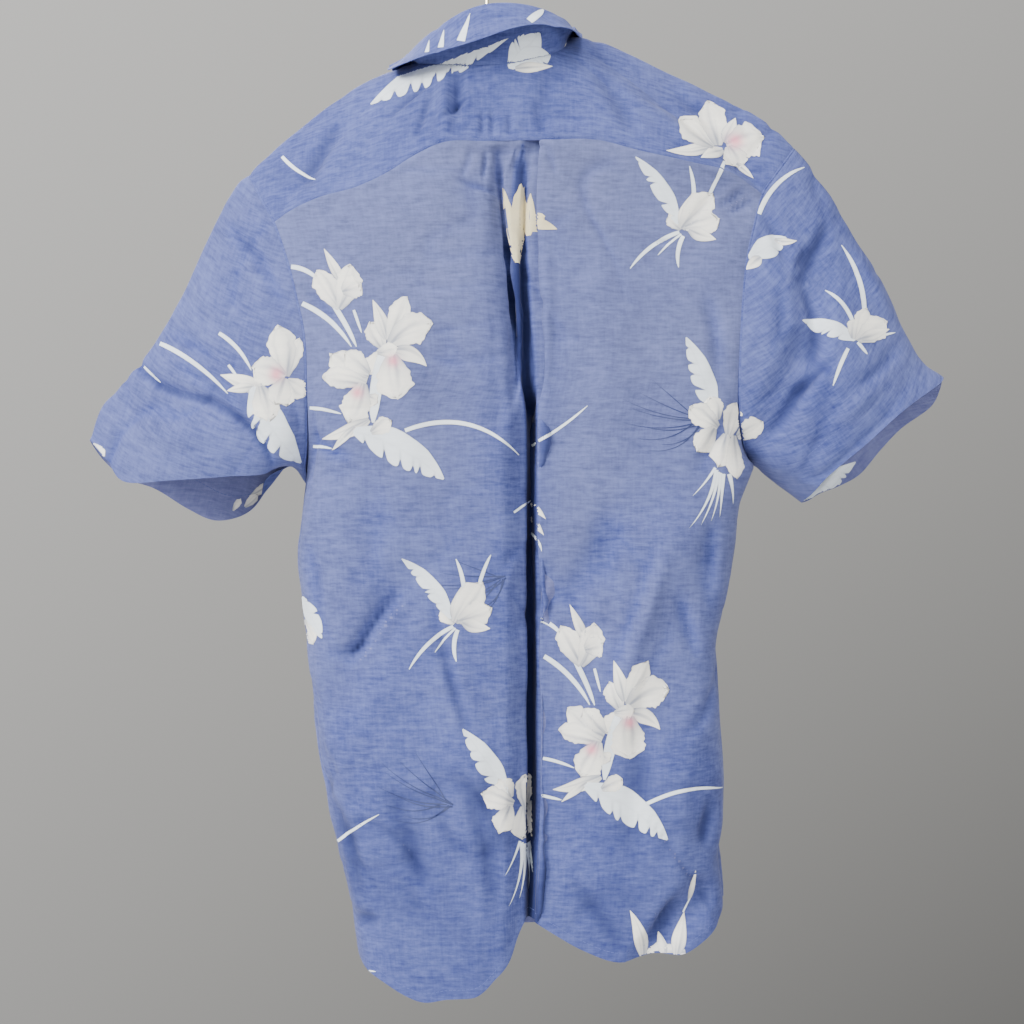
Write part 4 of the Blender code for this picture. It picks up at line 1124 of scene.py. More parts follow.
def motif_blades(name, seed):
    """A motif's blades, and the pink glow of its throats, as flat grids with colours."""
    made = []
    for index, row in enumerate(MOTIFS[name]):
        points, colors = blade(*row, seed=seed + index)
        if name in DYES:
            colors = colors * 0 + DYES[name]
        for x, y, radius in THROATS.get(name, ()):
            away = np.hypot(points[..., 0] - x, points[..., 1] - y) / radius
            glow = 0.8 * bell(away, 1)[..., None]
            colors = colors * (1 - glow) + PINK * glow
        made.append((points * PRINT_UNIT, colors))
    return made


def turned(points, degrees, size):
    """Flat points with y down, turned to the left: how far across and how far down they are."""
    angle = math.radians(degrees)
    x, y = points[..., 0] * size, points[..., 1] * size
    return x * math.cos(angle) + y * math.sin(angle), y * math.cos(angle) - x * math.sin(angle)


def laid_pieces(motifs, stems, facing):
    """Each printed shape at its place: x, z, colours, its layer and the sides of the cloth it is on.

    Seen from the front, x runs to the left.
    """
    for seed, (name, x, z, *how) in enumerate(motifs):
        turn, size, low, high = (*how, *PLACED[len(how):])
        for layer, (points, colors) in enumerate(motif_blades(name, SEEDS_EACH * seed)):
            across, down = turned(points, turn, size)
            shown = x - facing * across
            shown = np.where((shown > low) & (shown < high), shown, OUT_OF_SIGHT)
            yield shown, z - down, colors, 0 if name == "frond" else layer + 1, SIDES.get(name, OUTER)
    for x0, z0, x1, z1, half_width, bow in stems:
        ends = np.array([x0, -z0, x1, -z1]) / PRINT_UNIT
        points, colors = blade("stem", *ends, half_width, bow)
        yield points[..., 0] * PRINT_UNIT, -points[..., 1] * PRINT_UNIT, colors, 1, OUTER


class Target:
    """All the cloth, for finding what the print meets on its way straight along Y."""

    def __init__(self, panels):
        self.names = list(panels)
        points, faces, owners = [], [], []
        count = 0
        self.normals = []
        for number, panel in enumerate(panels.values()):
            quads = grid_quads(*panel.points.shape[:2])
            points.append(panel.points.reshape(-1, 3))
            self.normals.append(panel.normal.reshape(-1, 3)[quads].mean(axis=1))
            faces.append(quads + count)
            owners.append(np.full(len(quads), number))
            count += len(points[-1])
        self.normals = unit(np.concatenate(self.normals))
        self.owners = np.concatenate(owners)
        self.tree = BVHTree.FromPolygons(np.concatenate(points).tolist(), np.concatenate(faces).tolist())

    def strike(self, x, z, facing):
        """Where straight lines from the back or the front meet the cloth.

        It gives the points, the normals towards the eye, the panels' numbers, and whether each point is
        on its panel's outer side, 1, or on its inner one, -1.
        """
        points = np.zeros((x.size, 3))
        normal = np.zeros((x.size, 3))
        owner = np.full(x.size, -1)
        side = np.zeros(x.size)
        way = Vector((0, -facing, 0))
        for index, (px, pz) in enumerate(zip(x.ravel(), z.ravel())):
            place, _, face, _ = self.tree.ray_cast(Vector((px, EYE_AWAY * facing, pz)), way)
            if face is None or abs(self.normals[face][1]) < PRINT_LEAST_FACING:
                continue
            points[index] = place
            owner[index] = self.owners[face]
            side[index] = np.sign(self.normals[face][1]) * facing
            normal[index] = self.normals[face] * side[index]
        return points, normal, owner, side


def print_mesh(name, pieces, finish):
    """One panel's printed shapes, laid on its outer side in the order they are drawn."""
    points = np.concatenate([piece[0] for piece in pieces])
    colors = np.concatenate([piece[1] for piece in pieces])
    starts = np.cumsum([0] + [len(piece[0]) for piece in pieces[:-1]])
    quads = np.concatenate([piece[2] + start for piece, start in zip(pieces, starts)])
    used, order = np.unique(quads, return_inverse=True)
    mesh = fill_mesh(name, points[used], order.reshape(quads.shape), colors=colors[used])
    mesh.materials.append(finish)
    return link(name, mesh)


def caught(target, piece, facing):
    """The parts of a printed shape that panels catch: each one's name, and its points, colours, faces."""
    x, z, colors, layer, wanted = piece
    points, normal, owner, side = target.strike(x, z, facing)
    raised = points + normal * (THREAD_WALL / 2 + PRINT_LIFT + PRINT_LAYER * layer)
    quads = grid_quads(*x.shape)
    flat = np.ptp(points[quads][..., 1], axis=1) < PRINT_MOST_STEP
    for number, name in enumerate(target.names):
        right_side = side[quads] == wanted[name != "collar"]
        keep = ((owner[quads] == number) & right_side).all(axis=1) & flat
        if keep.any():
            kept = faces_out(raised, quads[keep], normal[quads[keep][0, 0]])
            yield name, (raised, colors.reshape(-1, 3), kept)


def add_print(panels, finish):
    """Lays the motifs on the cloth from the back and from the front: one object for each panel."""
    target = Target(panels)
    found = {name: [] for name in panels}
    for facing, motifs, stems in ((-1, BACK_PRINT, BACK_STEMS), (1, FRONT_PRINT, ())):
        for piece in laid_pieces(motifs, stems, facing):
            for name, part in caught(target, piece, facing):
                found[name].append(part)
    return {name: print_mesh(f"print_{name}", parts, finish) for name, parts in found.items() if parts}


# ---------------------------------------------------------------------------------------------
# Materials
# ---------------------------------------------------------------------------------------------

class Nodes:
    """A short way to add shader nodes to a material and to join them."""

    def __init__(self, name):
        self.material = bpy.data.materials.new(name)
        self.material.use_nodes = True
        self.tree = self.material.node_tree
        self.shader = self.tree.nodes["Principled BSDF"]

    def add(self, kind, settings=(), **inputs):
        """A new node with its settings, and its inputs set or joined."""
        node = self.tree.nodes.new("ShaderNode" + kind)
        for key, value in dict(settings).items():
            setattr(node, key, value)
        for key, value in inputs.items():
            self.feed(node, key.replace("_", " "), value)
        return node

    def feed(self, node, key, value):
        """Sets an input of a node, by its name or number, or joins it to another node's output."""
        socket = node.inputs[int(key) if key.isdigit() else key]
        if isinstance(value, bpy.types.NodeSocket):
            self.tree.links.new(value, socket)
        else:
            socket.default_value = value

    def math(self, operation, first, second):
        """The outcome of an operation on two values."""
        node = self.add("Math", {"operation": operation}, **{"0": first, "1": second})
        return node.outputs[0]

    def mix(self, share, first, second):
        """A colour between two others."""
        node = self.add("Mix", {"data_type": "RGBA"}, **{"0": share, "6": first, "7": second})
        return node.outputs[2]

    def stretched_noise(self, source, scale, detail=3.0, roughness=0.55):
        """Noise with its own scale across and down the cloth."""
        place = self.add("Mapping", Vector=source, Scale=scale).outputs[0]
        noise = self.add("TexNoise", Vector=place, Scale=1.0, Detail=detail, Roughness=roughness)
        return noise.outputs[0]

    def patches(self, source, scale, low, detail=3.0, roughness=0.55):
        """The same noise, stretched so that it goes from 0 to 1 over most of its range."""
        noise = self.stretched_noise(source, scale, detail, roughness)
        return self.add("MapRange", Value=noise, From_Min=low, From_Max=1 - low).outputs[0]

    def weighted(self, *terms):
        """The sum of some values, each times its weight."""
        parts = [self.math("MULTIPLY", value, weight) for value, weight in terms]
        total = parts[0]
        for part in parts[1:]:
            total = self.math("ADD", total, part)
        return total

    def finish(self, **inputs):
        """Sets or joins inputs of the shader, and gives the material."""
        for key, value in inputs.items():
            self.feed(self.shader, key.replace("_", " "), value)
        return self.material


def rgba(color):
    """A colour as a shader's input takes it."""
    return (*[float(c) for c in color], 1.0)


def weave_height(nodes, source):
    """The height of the weave: uneven weft threads, finer warp threads and slubs."""
    weft = nodes.stretched_noise(source, (90, 1300, 1))
    warp = nodes.stretched_noise(source, (1300, 80, 1))
    slub = nodes.stretched_noise(source, (55, 420, 1), 2.0)
    pucker = nodes.stretched_noise(source, (85, 130, 1), 2.0)
    return nodes.weighted((weft, 1.0), (warp, 1.0), (slub, 1.3), (pucker, 3.0))


def chambray(name, deep, light, grey):
    """Woven cotton: blue warp with paler, slubby weft, faded where the attribute is above 0.

    Below 0 it darkens towards a deeper blue: painted shade in the creases and around the pleat, and
    elsewhere a deeper tone of its dye.
    """
    nodes = Nodes(name)
    cloth = nodes.add("UVMap", {"uv_map": "cloth"}).outputs[0]
    slubs = nodes.patches(cloth, (60, 390, 1), 0.34, roughness=0.65)
    threads = nodes.patches(cloth, (420, 55, 1), 0.34, roughness=0.6)
    mottle = nodes.patches(cloth, (110, 190, 1), 0.34, roughness=0.7)
    cloud = nodes.patches(cloth, (14, 19, 1), 0.34)
    share = nodes.weighted((slubs, 0.36), (threads, 0.16), (mottle, 0.26), (cloud, 0.22))
    color = nodes.mix(share, rgba(deep), rgba(light))
    pale = nodes.mix(share, rgba(grey * 0.62), rgba(grey * 1.34))
    faded = nodes.add("Attribute", {"attribute_name": "fade"}).outputs["Fac"]
    # Below 0 the attribute darkens the cloth: painted shade in the creases and around the pleat.
    kept = nodes.math("MULTIPLY", faded, -1.0)
    color = nodes.mix(kept, nodes.mix(faded, color, pale), rgba(UNFADED_AND_SHADE))
    bump = nodes.add("Bump", Strength=0.35, Distance=0.0005, Height=weave_height(nodes, cloth))
    return nodes.finish(
        Base_Color=color, Roughness=0.92, Sheen_Weight=0.1, Sheen_Roughness=0.5, Specular_IOR_Level=0.2,
        Normal=bump.outputs[0],
    )


def ink_material():
    """The printed colours, on the same slubby weave."""
    nodes = Nodes("print_ink")
    ink = nodes.add("Attribute", {"attribute_name": "ink"}).outputs["Color"]
    place = nodes.add("TexCoord").outputs["Object"]
    weft = nodes.patches(place, (50, 50, 420), 0.35)
    cloud = nodes.patches(place, (60, 60, 60), 0.35)
    grain = nodes.weighted((weft, 0.08), (cloud, 0.08))
    return nodes.finish(
        Base_Color=nodes.mix(grain, ink, rgba(SHADOW)), Roughness=0.9, Specular_IOR_Level=0.2
    )


def plain_material(name, color, roughness, metallic=0.0):
    """One even finish."""
    return Nodes(name).finish(Base_Color=rgba(color), Roughness=roughness, Metallic=metallic)


def wood_material():
    """Varnished beech, with its grain along the bar."""
    nodes = Nodes("hanger_wood")
    grain = nodes.patches(nodes.add("TexCoord").outputs["Object"], (14, 260, 260), 0.3, detail=4.0)
    return nodes.finish(Base_Color=nodes.mix(grain, rgba(WOOD_DARK), rgba(WOOD_LIGHT)), Roughness=0.38)


def button_material():
    """Pearly plastic with soft clouds in it."""
    nodes = Nodes("pearl")
    cloud = nodes.patches(nodes.add("TexCoord").outputs["Object"], (220, 60, 220), 0.35)
    color = nodes.mix(cloud, rgba(PEARL_DARK), rgba(PEARL_LIGHT))
    return nodes.finish(Base_Color=color, Roughness=0.22, Coat_Weight=0.4)


# ---------------------------------------------------------------------------------------------
# Creases and making up
# ---------------------------------------------------------------------------------------------

# x and z of a crease's start, middle and end, its half width and its depth. A negative depth is a
# ridge. The back's are those seen, the fronts' are like them.
CREASES = {
    "back": (
        (142, -506, 130, -552, 106, -613, 8, -3.2), (154, -541, 160, -570, 170, -597, 6.5, 2.6),
        (138, -502, 122, -552, 98, -613, 6.5, 2.6), (-44, -549, -30, -606, -12, -661, 5.5, 2.4),
        (-64, -538, -90, -566, -112, -605, 5.5, 2.8), (-56, -544, -80, -566, -104, -605, 6, -1.8),
        (182, -708, 178, -730, 174, -748, 7, 2.6), (153, -784, 144, -800, 128, -824, 6.5, 3.4),
        (-106, -800, -94, -801, -84, -800, 6.5, 2.6), (-21, -216, -4, -220, 10, -225, 3.5, 1.8),
        (132, -264, 141, -264, 150, -262, 2.5, 1.2), (187, -234, 200, -226, 219, -211, 3.5, 1.8),
        (193, -240, 206, -232, 221, -222, 3.5, 1.8), (-142, -300, -130, -318, -116, -330, 6, 2.0),
        (-140, -420, -126, -432, -104, -436, 7, 2.0), (194, -400, 180, -428, 170, -452, 7, 1.8),
        (60, -560, 84, -640, 96, -720, 12, -1.8), (-80, -690, -52, -742, -50, -800, 10, 2.0),
        (-60, -300, -66, -400, -56, -480, 20, -1.8), (96, -260, 104, -350, 98, -450, 22, -1.8),
        (186, -480, 176, -520, 180, -560, 8, 2.6), (-146, -500, -132, -540, -136, -580, 8, 2.4),
        (-136, -640, -118, -668, -108, -700, 7, -2.4), (120, -640, 126, -700, 110, -760, 12, 2.2),
        (0, -190, 1, -200, -2, -214, 3, 1.4), (10, -188, 12, -200, 9, -216, 3, 1.5),
        (24, -188, 25, -200, 22, -212, 3, 1.4), (50, -186, 52, -196, 56, -212, 3.5, 1.1),
        (-12, -190, -14, -202, -20, -214, 3.5, 1.2), (11, -205, 16, -262, 22, -330, 2.6, 3.4),
        (19, -290, 24, -350, 37, -400, 2.8, 4.4), (33, -190, 29, -250, 31, -320, 3.2, 4.0),
        (30, -270, 33, -340, 39, -440, 3.6, 7.0), (38, -380, 36, -450, 37, -540, 3.4, 7.0),
        (37, -480, 38, -560, 38, -640, 3.4, 7.0), (38, -580, 38, -660, 38, -740, 3.4, 7.0),
        (38, -680, 38, -760, 34, -830, 3.2, 6.0), (-110, -220, -96, -250, -60, -262, 12, -1.6),
        (-150, -360, -138, -420, -146, -470, 7, 2.4), (176, -300, 190, -340, 186, -380, 8, 2.2),
        (110, -470, 90, -520, 60, -560, 16, 2.0), (-20, -690, 4, -740, 10, -800, 9, 2.2),
        (-70, -760, -40, -784, -8, -822, 8, -2.2), (-128, -700, -104, -740, -100, -790, 8, 2.2),
        (64, -770, 96, -800, 110, -830, 8, 2.0), (-130, -590, -100, -600, -84, -570, 6, 2.2),
        (160, -660, 180, -640, 196, -600, 7, 2.0), (14, -300, 12, -360, 20, -430, 6, -1.6),
        (48, -250, 50, -330, 47, -420, 5, -1.2),
    ),
    "yoke": (
        (-34, -122, -34, -150, -32, -184, 6, -2.4), (-22, -124, -22, -142, -24, -164, 5, 2.2),
        (-42, -131, -62, -142, -80, -161, 3, 1.5), (-44, -138, -50, -160, -58, -182, 3.5, 1.5),
        (-14, -144, -26, -160, -40, -168, 3, 1.5), (-3, -158, -3, -170, -3, -184, 3, 1.4),
        (5, -156, 5, -170, 5, -184, 3, 1.4), (19, -160, 19, -172, 19, -184, 3, 1.2),
        (40, -150, 44, -164, 46, -184, 5, 1.0), (90, -120, 110, -150, 120, -180, 10, 1.6),
        (150, -130, 180, -150, 206, -184, 8, 1.8), (-120, -160, -138, -190, -150, -220, 7, 1.8),
    ),
    "front_left": (
        (-142, -440, -116, -470, -90, -520, 10, 2.4), (-130, -540, -100, -580, -96, -640, 9, 2.4),
        (-40, -560, -24, -620, -30, -690, 12, -2.0), (-110, -700, -90, -740, -84, -800, 9, 2.4),
        (-120, -300, -90, -340, -80, -420, 14, -2.0), (-20, -240, -26, -300, -16, -380, 8, 1.6),
        (-140, -360, -124, -390, -100, -400, 7, 2.0), (-60, -780, -40, -800, -34, -830, 7, 2.0),
    ),
    "front_right": (
        (204, -440, 176, -480, 150, -540, 10, 2.6), (190, -580, 164, -610, 150, -680, 9, 2.4),
        (80, -540, 74, -620, 88, -700, 12, -2.0), (186, -690, 170, -740, 160, -790, 8, 2.4),
        (170, -280, 150, -340, 140, -420, 14, -2.0), (60, -240, 66, -300, 56, -390, 8, 1.6),
        (196, -340, 180, -370, 160, -384, 7, 2.0), (110, -770, 100, -800, 106, -826, 7, 2.0),
    ),
    "sleeve_left": (
        (-292, -352, -272, -384, -214, -390, 5, 3.6), (-240, -386, -190, -396, -170, -440, 4.5, 3.6),
        (-254, -355, -226, -372, -198, -396, 8, 2.0), (-190, -262, -178, -290, -164, -310, 6, 2.0),
        (-214, -240, -200, -262, -180, -276, 6, 1.8), (-240, -290, -220, -320, -190, -332, 9, -1.8),
        (-262, -330, -240, -340, -220, -356, 6, 1.5), (-290, -410, -260, -424, -230, -420, 10, -1.4),
    ),
    "sleeve_right": (
        (284, -240, 270, -262, 256, -294, 7, 2.8), (256, -292, 274, -340, 256, -374, 6, 2.8),
        (256, -374, 246, -396, 226, -420, 6, 2.8), (280, -357, 264, -366, 238, -396, 5, 2.6),
        (262, -262, 258, -272, 252, -282, 4, 1.6), (300, -260, 320, -290, 330, -320, 9, -1.8),
        (236, -300, 240, -330, 232, -352, 7, 2.0), (340, -340, 320, -366, 296, -380, 6, 1.4),
        (322, -372, 300, -392, 276, -412, 7, -1.4), (228, -240, 240, -256, 242, -280, 6, 1.8),
    ),
    "collar": ((-30, -96, 0, -90, 30, -86, 4, 0.5), (40, -84, 56, -92, 60, -104, 4, 0.6)),
}
CLOTH_WAVES = ((2.4, 95, 1), (1.5, 46, 2), (0.6, 21, 3), (0.24, 11, 4))  # height, size, seed
COLLAR_WAVES = ((0.5, 40, 1), (0.2, 16, 2))
CRINKLES = ((44, 2.8, 0.11, 52), (36, 2.3, 0.12, -58), (26, 1.1, 0.15, 8))  # size, depth, width, direction
CRINKLE_STRETCH = 2.4
NOISE_CELLS = 64
CREASE_STRENGTH = 1.8
CREASE_STEP = 1.2
CREASE_LIP, CREASE_FALL, CREASE_ENDS = 0.55, 0.9, 0.7
CREASE_FADE = 10
SEAM_REACH = 2.2
SEAM_GROOVE = 0.7
HEM_STEP = 0.4
HEM_SHARPNESS = 0.15
BODY_HEM, SLEEVE_HEM = 8, 26
MAKING_UP = {  # the edges that are sewn, the unevenness, the width of the hem
    "back": (("first", "last", "top"), CLOTH_WAVES, BODY_HEM),
    "yoke": (("first", "last", "top", "bottom"), CLOTH_WAVES, 0),
    "front_left": (("last", "top"), CLOTH_WAVES, BODY_HEM),
    "front_right": (("last", "top"), CLOTH_WAVES, BODY_HEM),
    "sleeve_left": (("top",), CLOTH_WAVES, SLEEVE_HEM),
    "sleeve_right": (("top",), CLOTH_WAVES, SLEEVE_HEM),
    "collar": ((), COLLAR_WAVES, 0),
}
COLLAR_TUCK = 3.2
# How thick the cloth is drawn, and how many steps its form has for each of the solid's, across and down.
# The back and the fronts keep only some of theirs.
THREAD_WALL = 0.6
FINE = 12
YOKE_FINE, SLEEVE_FINE, COLLAR_FINE = (8, 12), (6, 14), (8, 8)
YOKE_MIDDLE = 100
# Points inside the shirt, which the cloth faces away from.
WITHIN_BACK, WITHIN_FRONT = (20, 20, -500), (20, -20, -500)
WITHIN_YOKE, WITHIN_COLLAR = (20, 10, -260), (5, 0, -120)

# The grain of the cloth. On the level panels the weft lies along X. On the sleeves: its direction in the
# X-Z plane in degrees, and how much Y counts down the cloth, as it turns over the outer fold. The collar
# keeps the lengths along its grid.
LEVEL = ("back", "front_left", "front_right")
GRAIN = {"sleeve_left": (-14, 0.7), "sleeve_right": (36, 0.7)}
YOKE_SLOPE = 37

# How faded each panel is, how much painted shade a crease of a millimetre adds, and how much painted
# shade darkens the pleat's inner strip.
FADE = {"back": 0.25, "sleeve_left": 0.3, "sleeve_right": 0.1, "yoke": 0.0}
OTHER_FADE = 0.1
UNEVEN_FADE, FADE_PATCH, FADE_SEED = 0.18, 70, 5
CREASE_SHADE, CREASE_SHADE_DEPTH = 0.13, 8
PLEAT_SHADE = 1.5
# The line of painted shade down the inside of the pleat: z, x and half width.
PLEAT_LINE = (
    (-180, 30, 0), (-215, 26, 5), (-260, 26, 7), (-300, 27, 8), (-350, 31, 8), (-400, 36, 5),
    (-450, 37, 4), (-700, 38, 4), (-812, 37, 4),
)


def set_grain(panel):
    """Gives a panel whose rows aren't straight the coordinates of its weft and warp."""
    if panel.name in LEVEL:
        panel.v = -panel.points[..., 2]
        return
    if panel.name == "collar":
        return
    x, y, z = np.moveaxis(panel.points, -1, 0)
    if panel.name == "yoke":
        slope = math.radians(YOKE_SLOPE)
        panel.u = x
        panel.v = np.abs(y) * math.sin(slope) - z * math.cos(slope)
        return
    degrees, turning = GRAIN[panel.name]
    angle = math.radians(degrees)
    panel.u = x * math.cos(angle) + z * math.sin(angle)
    panel.v = x * math.sin(angle) - z * math.cos(angle) + turning * y


def back_panel_of(fine_back):
    """The back, with fewer columns on its flat parts and in the pleat."""
    half = (6,) * (HALF_BACK_STEPS - 1) + (FINE,)
    columns = half + (4,) * PLEAT_STEPS + half[::-1]
    rows = (FINE,) * (ARMHOLE_STEPS + SIDE_STEPS)
    return Panel("back", thin_out(fine_back, columns, rows), WITHIN_BACK, middle=sum(columns) // 2)


def front_panel_of(side):
    """A front, with fewer columns, and fewer rows above the armpit."""
    grid = front_grid(side, FINE, FINE)
    spans = (grid.shape[0] - 1) // FINE
    rows = (6,) * ARMHOLE_STEPS + (FINE,) * SIDE_STEPS
    return Panel(f"front_{side}", thin_out(grid, (6,) * spans, rows), WITHIN_FRONT)


def sleeve_panel_of(side):
    """A sleeve, a tube whose first and last columns meet under the arm."""
    grid = sleeve_grid(side, *SLEEVE_FINE)
    half = len(grid) // 2
    grid = np.roll(grid, half, axis=0)
    grid = np.concatenate([grid, grid[:1]])
    centre = grid.reshape(-1, 3).mean(axis=0)
    return Panel(f"sleeve_{side}", grid, centre, tube=True, middle=half)


def make_panels():
    """All the cloth, creased, by name."""
    panels = [
        back_panel_of(back_grid(FINE, FINE)),
        Panel("yoke", yoke_grid(back_grid(YOKE_FINE[0], 1), *YOKE_FINE), WITHIN_YOKE, middle=YOKE_MIDDLE),
        front_panel_of("left"), front_panel_of("right"), sleeve_panel_of("left"), sleeve_panel_of("right"),
        Panel("collar", collar_panel_grid(), WITHIN_COLLAR, middle=COLLAR_STEPS * COLLAR_FINE[0] // 2),
    ]
    for panel in panels:
        dress(panel)
    return {panel.name: panel for panel in panels}


def collar_panel_grid():
    """The collar's form, with its foot tucked in behind the neck seam."""
    grid = collar_grid()
    grid[:, 0] -= unit(grid[:, 1] - grid[:, 0]) * COLLAR_TUCK
    return refine(grid, *COLLAR_FINE)


def add_fade_and_shade(made, panel, values):
    """How faded each point is, with its painted shade, for the outer and the inner side."""
    if panel.tube:
        values = values[:-1]
    flat = np.concatenate([values.ravel(), values.ravel()]).astype(np.float32)
    made.data.attributes.new("fade", "FLOAT", "POINT").data.foreach_set("value", flat)


def fade_and_shade_of(name, panel):
    """How faded a panel is, with painted shade: greyest below the back's yoke, darker near the hem, and
    darkened by painted shade along its creases, on the pleat's inner strip and beside the pleat.
    """
    x, z = panel.points[..., 0], panel.points[..., 2]
    base = FADE.get(name, OTHER_FADE) + UNEVEN_FADE * lattice_noise(panel.points, FADE_PATCH, FADE_SEED)
    if name == "back":
        below_yoke = np.clip((z + 600) / 360, 0, 1) ** 0.8
        # A broad patch of painted shade beside the pleat.
        shade_beside_pleat = np.exp(-(((x - 20) / 34) ** 2 + ((z + 390) / 150) ** 2))
        near_hem = np.clip((-620 - z) / 160, 0, 1)
        # Painted shade on the pleat's inner strip, and beside the pleat.
        base = base + 0.6 * below_yoke - PLEAT_SHADE * pleat_shade_share(x, z)
        base = base - 0.5 * shade_beside_pleat - 0.45 * near_hem
    # Painted shade along the creases, darker where they are pressed deeper.
    return np.clip(base - CREASE_SHADE * np.clip(panel.pressed, 0, CREASE_SHADE_DEPTH), -1, 1)


def pleat_shade_share(x, z):
    """Where painted shade darkens the pleat: 1 on its inner strip, 0 away from it."""
    heights, places, halves = np.array(PLEAT_LINE)[::-1].T
    place, half = np.interp(z, heights, places), np.interp(z, heights, halves)
    return np.exp(-((np.abs(x - place) / np.maximum(half, 0.5)) ** 4))


def add_cloth_pieces(panels, on_cloth, outside, inside):
    """Each panel as a piece of its own, in its solid's place."""
    for name, panel in panels.items():
        width, length = (float(side) * MM for side in (np.ptp(panel.u, axis=0).max(), panel.v.max()))
        area = min(float(shell_area(panel)) * MM**2, width * length)
        set_grain(panel)
        made = cloth_object(panel, outside, inside if name != "collar" else outside)
        made.name = f"cloth_{name}"
        # The fade attribute also carries the painted shade of the creases and the pleat.
        add_fade_and_shade(made, panel, fade_and_shade_of(name, panel))
        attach(made, "root")
        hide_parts("back_panel" if name == "back" else name)
        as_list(on_cloth[name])


def shell_area(panel):
    """A panel's area in square millimetres, along its form."""
    a = np.diff(panel.points, axis=0)[:, :-1]
    b = np.diff(panel.points, axis=1)[:-1]
    return np.linalg.norm(np.cross(a, b), axis=2).sum()


# ---------------------------------------------------------------------------------------------
# Stitches, buttons and hanger
# ---------------------------------------------------------------------------------------------

ROLL_RADIUS, ROLL_TURNS, ROLL_SINK = 1.7, 8, 0.9
STITCH, STITCH_GAP, STITCH_HALF, STITCH_LIFT = 2.4, 1.0, 0.24, 0.06
# Lines of stitches: panel, the edge they follow, and their distance from it.
SEAM_STITCHES = (
    ("yoke", "bottom", 2.0), ("back", "bottom", 7.0), ("front_left", "bottom", 7.0),
    ("front_right", "bottom", 7.0), ("front_left", "first", 2.0), ("front_left", "first", 28.0),
    ("sleeve_left", "bottom", 25.0), ("sleeve_right", "bottom", 25.0), ("collar", "bottom", 5.0),
    ("sleeve_left", "top", 1.6), ("sleeve_right", "top", 1.6), ("collar", "first", 5.0),
    ("collar", "last", 5.0),
)
BUTTON_PROFILE = (  # radius, height
    (3.4, 0.45), (3.9, 0.62), (4.3, 1.0), (4.9, 1.15), (5.35, 0.95), (5.6, 0.4), (5.5, -0.6), (5.0, -1.1),
)
BUTTON_TURNS = 40
BUTTON_OFFSET = 1.7
HOLE_RADIUS, HOLE_PLACE, HOLE_HEIGHT = 0.75, 1.35, 0.48
THREAD_RADIUS, THREAD_HEIGHT = 0.3, 0.75


def add_seam_rolls(panels, finish):
    """The rolled seam where each sleeve meets the body."""
    made = {}
    for name in ("sleeve_left", "sleeve_right"):
        line, facing = edge_line(panels[name], "top", 0.0)
        ahead = unit(np.roll(line, -1, axis=0) - np.roll(line, 1, axis=0))
        aside = unit(np.cross(facing, ahead))
        turn = np.linspace(0, 2 * math.pi, ROLL_TURNS + 1)
        across = np.cos(turn)[:, None, None] * facing + np.sin(turn)[:, None, None] * aside
        points = line - facing * ROLL_SINK + across * ROLL_RADIUS
        quads = grid_quads(*points.shape[:2])
        flat = points.reshape(-1, 3)
        quads = faces_out(flat, quads, facing[0])
        uv = np.stack([flat[:, 0], flat[:, 2]], axis=1)[quads.ravel()]
        mesh = fill_mesh(f"seam_{name}", flat, quads, uv=uv)
        mesh.materials.append(finish)
        made[name] = link(f"seam_{name}", mesh)
    return made


def edge_line(panel, edge, distance):
    """A line of points and normals along one edge of a panel, at a distance from it."""
    points, normal = panel.points, panel.normal
    if edge in ("first", "last"):
        points, normal = points.swapaxes(0, 1), normal.swapaxes(0, 1)
    if edge in ("bottom", "last"):
        points, normal = points[:, ::-1], normal[:, ::-1]
    line, facing = [], []
    for lane, lane_normals in zip(points, normal):
        at = np.interp(distance, lengths(lane), np.arange(len(lane)))
        low = min(int(at), len(lane) - 2)
        line.append(lane[low] + (lane[low + 1] - lane[low]) * (at - low))
        facing.append(lane_normals[low])
    return np.array(line), np.array(facing)


def stitch_quads(line, facing, lift):
    """A row of short flat threads along a line of points."""
    run = lengths(line)
    starts = np.arange(STITCH_GAP, run[-1] - STITCH, STITCH + STITCH_GAP)
    corners = []
    for shift, side in ((0, -1), (0, 1), (STITCH, 1), (STITCH, -1)):
        at = starts + shift
        place = read_line(line, run, at)
        normal = unit(read_line(facing, run, at))
        ahead = read_line(line, run, at + 0.5) - place
        aside = unit(np.cross(normal, ahead + 1e-6))
        corners.append(place + normal * lift + aside * side * STITCH_HALF)
    points = np.stack(corners, axis=1).reshape(-1, 3)
    quads = np.arange(len(points)).reshape(-1, 4)
    return points, faces_out(points, quads, facing[0])


def add_stitches(panels, finish):
    """The stitching of each panel: one object for each."""
    made = {}
    for name, panel in panels.items():
        rows = [edge_line(panel, edge, distance) for owner, edge, distance in SEAM_STITCHES if owner == name]
        if not rows:
            continue
        points, quads, count = [], [], 0
        for line, facing in rows:
            for side in (-1, 1):
                some, faces = stitch_quads(line, facing * side, THREAD_WALL / 2 + STITCH_LIFT)
                points.append(some)
                quads.append(faces + count)
                count += len(some)
        mesh = fill_mesh(f"stitches_{name}", np.concatenate(points), np.concatenate(quads))
        mesh.materials.append(finish)
        made[name] = link(f"stitches_{name}", mesh)
    return made


def ring_points(radius, height, count):
    """Points round a level circle."""
    angle = np.linspace(0, 2 * math.pi, count, endpoint=False)
    return np.stack([radius * np.cos(angle), radius * np.sin(angle), np.full(count, height)], axis=1)


def add_disc(form):
    """A button's body with its raised rim."""
    rings = []
    for radius, height in BUTTON_PROFILE:
        rings.append([form.verts.new(p * MM) for p in ring_points(radius, height, BUTTON_TURNS)])
    for upper, lower in zip(rings, rings[1:]):
        for k in range(BUTTON_TURNS):
            after = (k + 1) % BUTTON_TURNS
            form.faces.new((upper[k], lower[k], lower[after], upper[after]))
    form.faces.new(rings[0])
    form.faces.new(rings[-1][::-1])


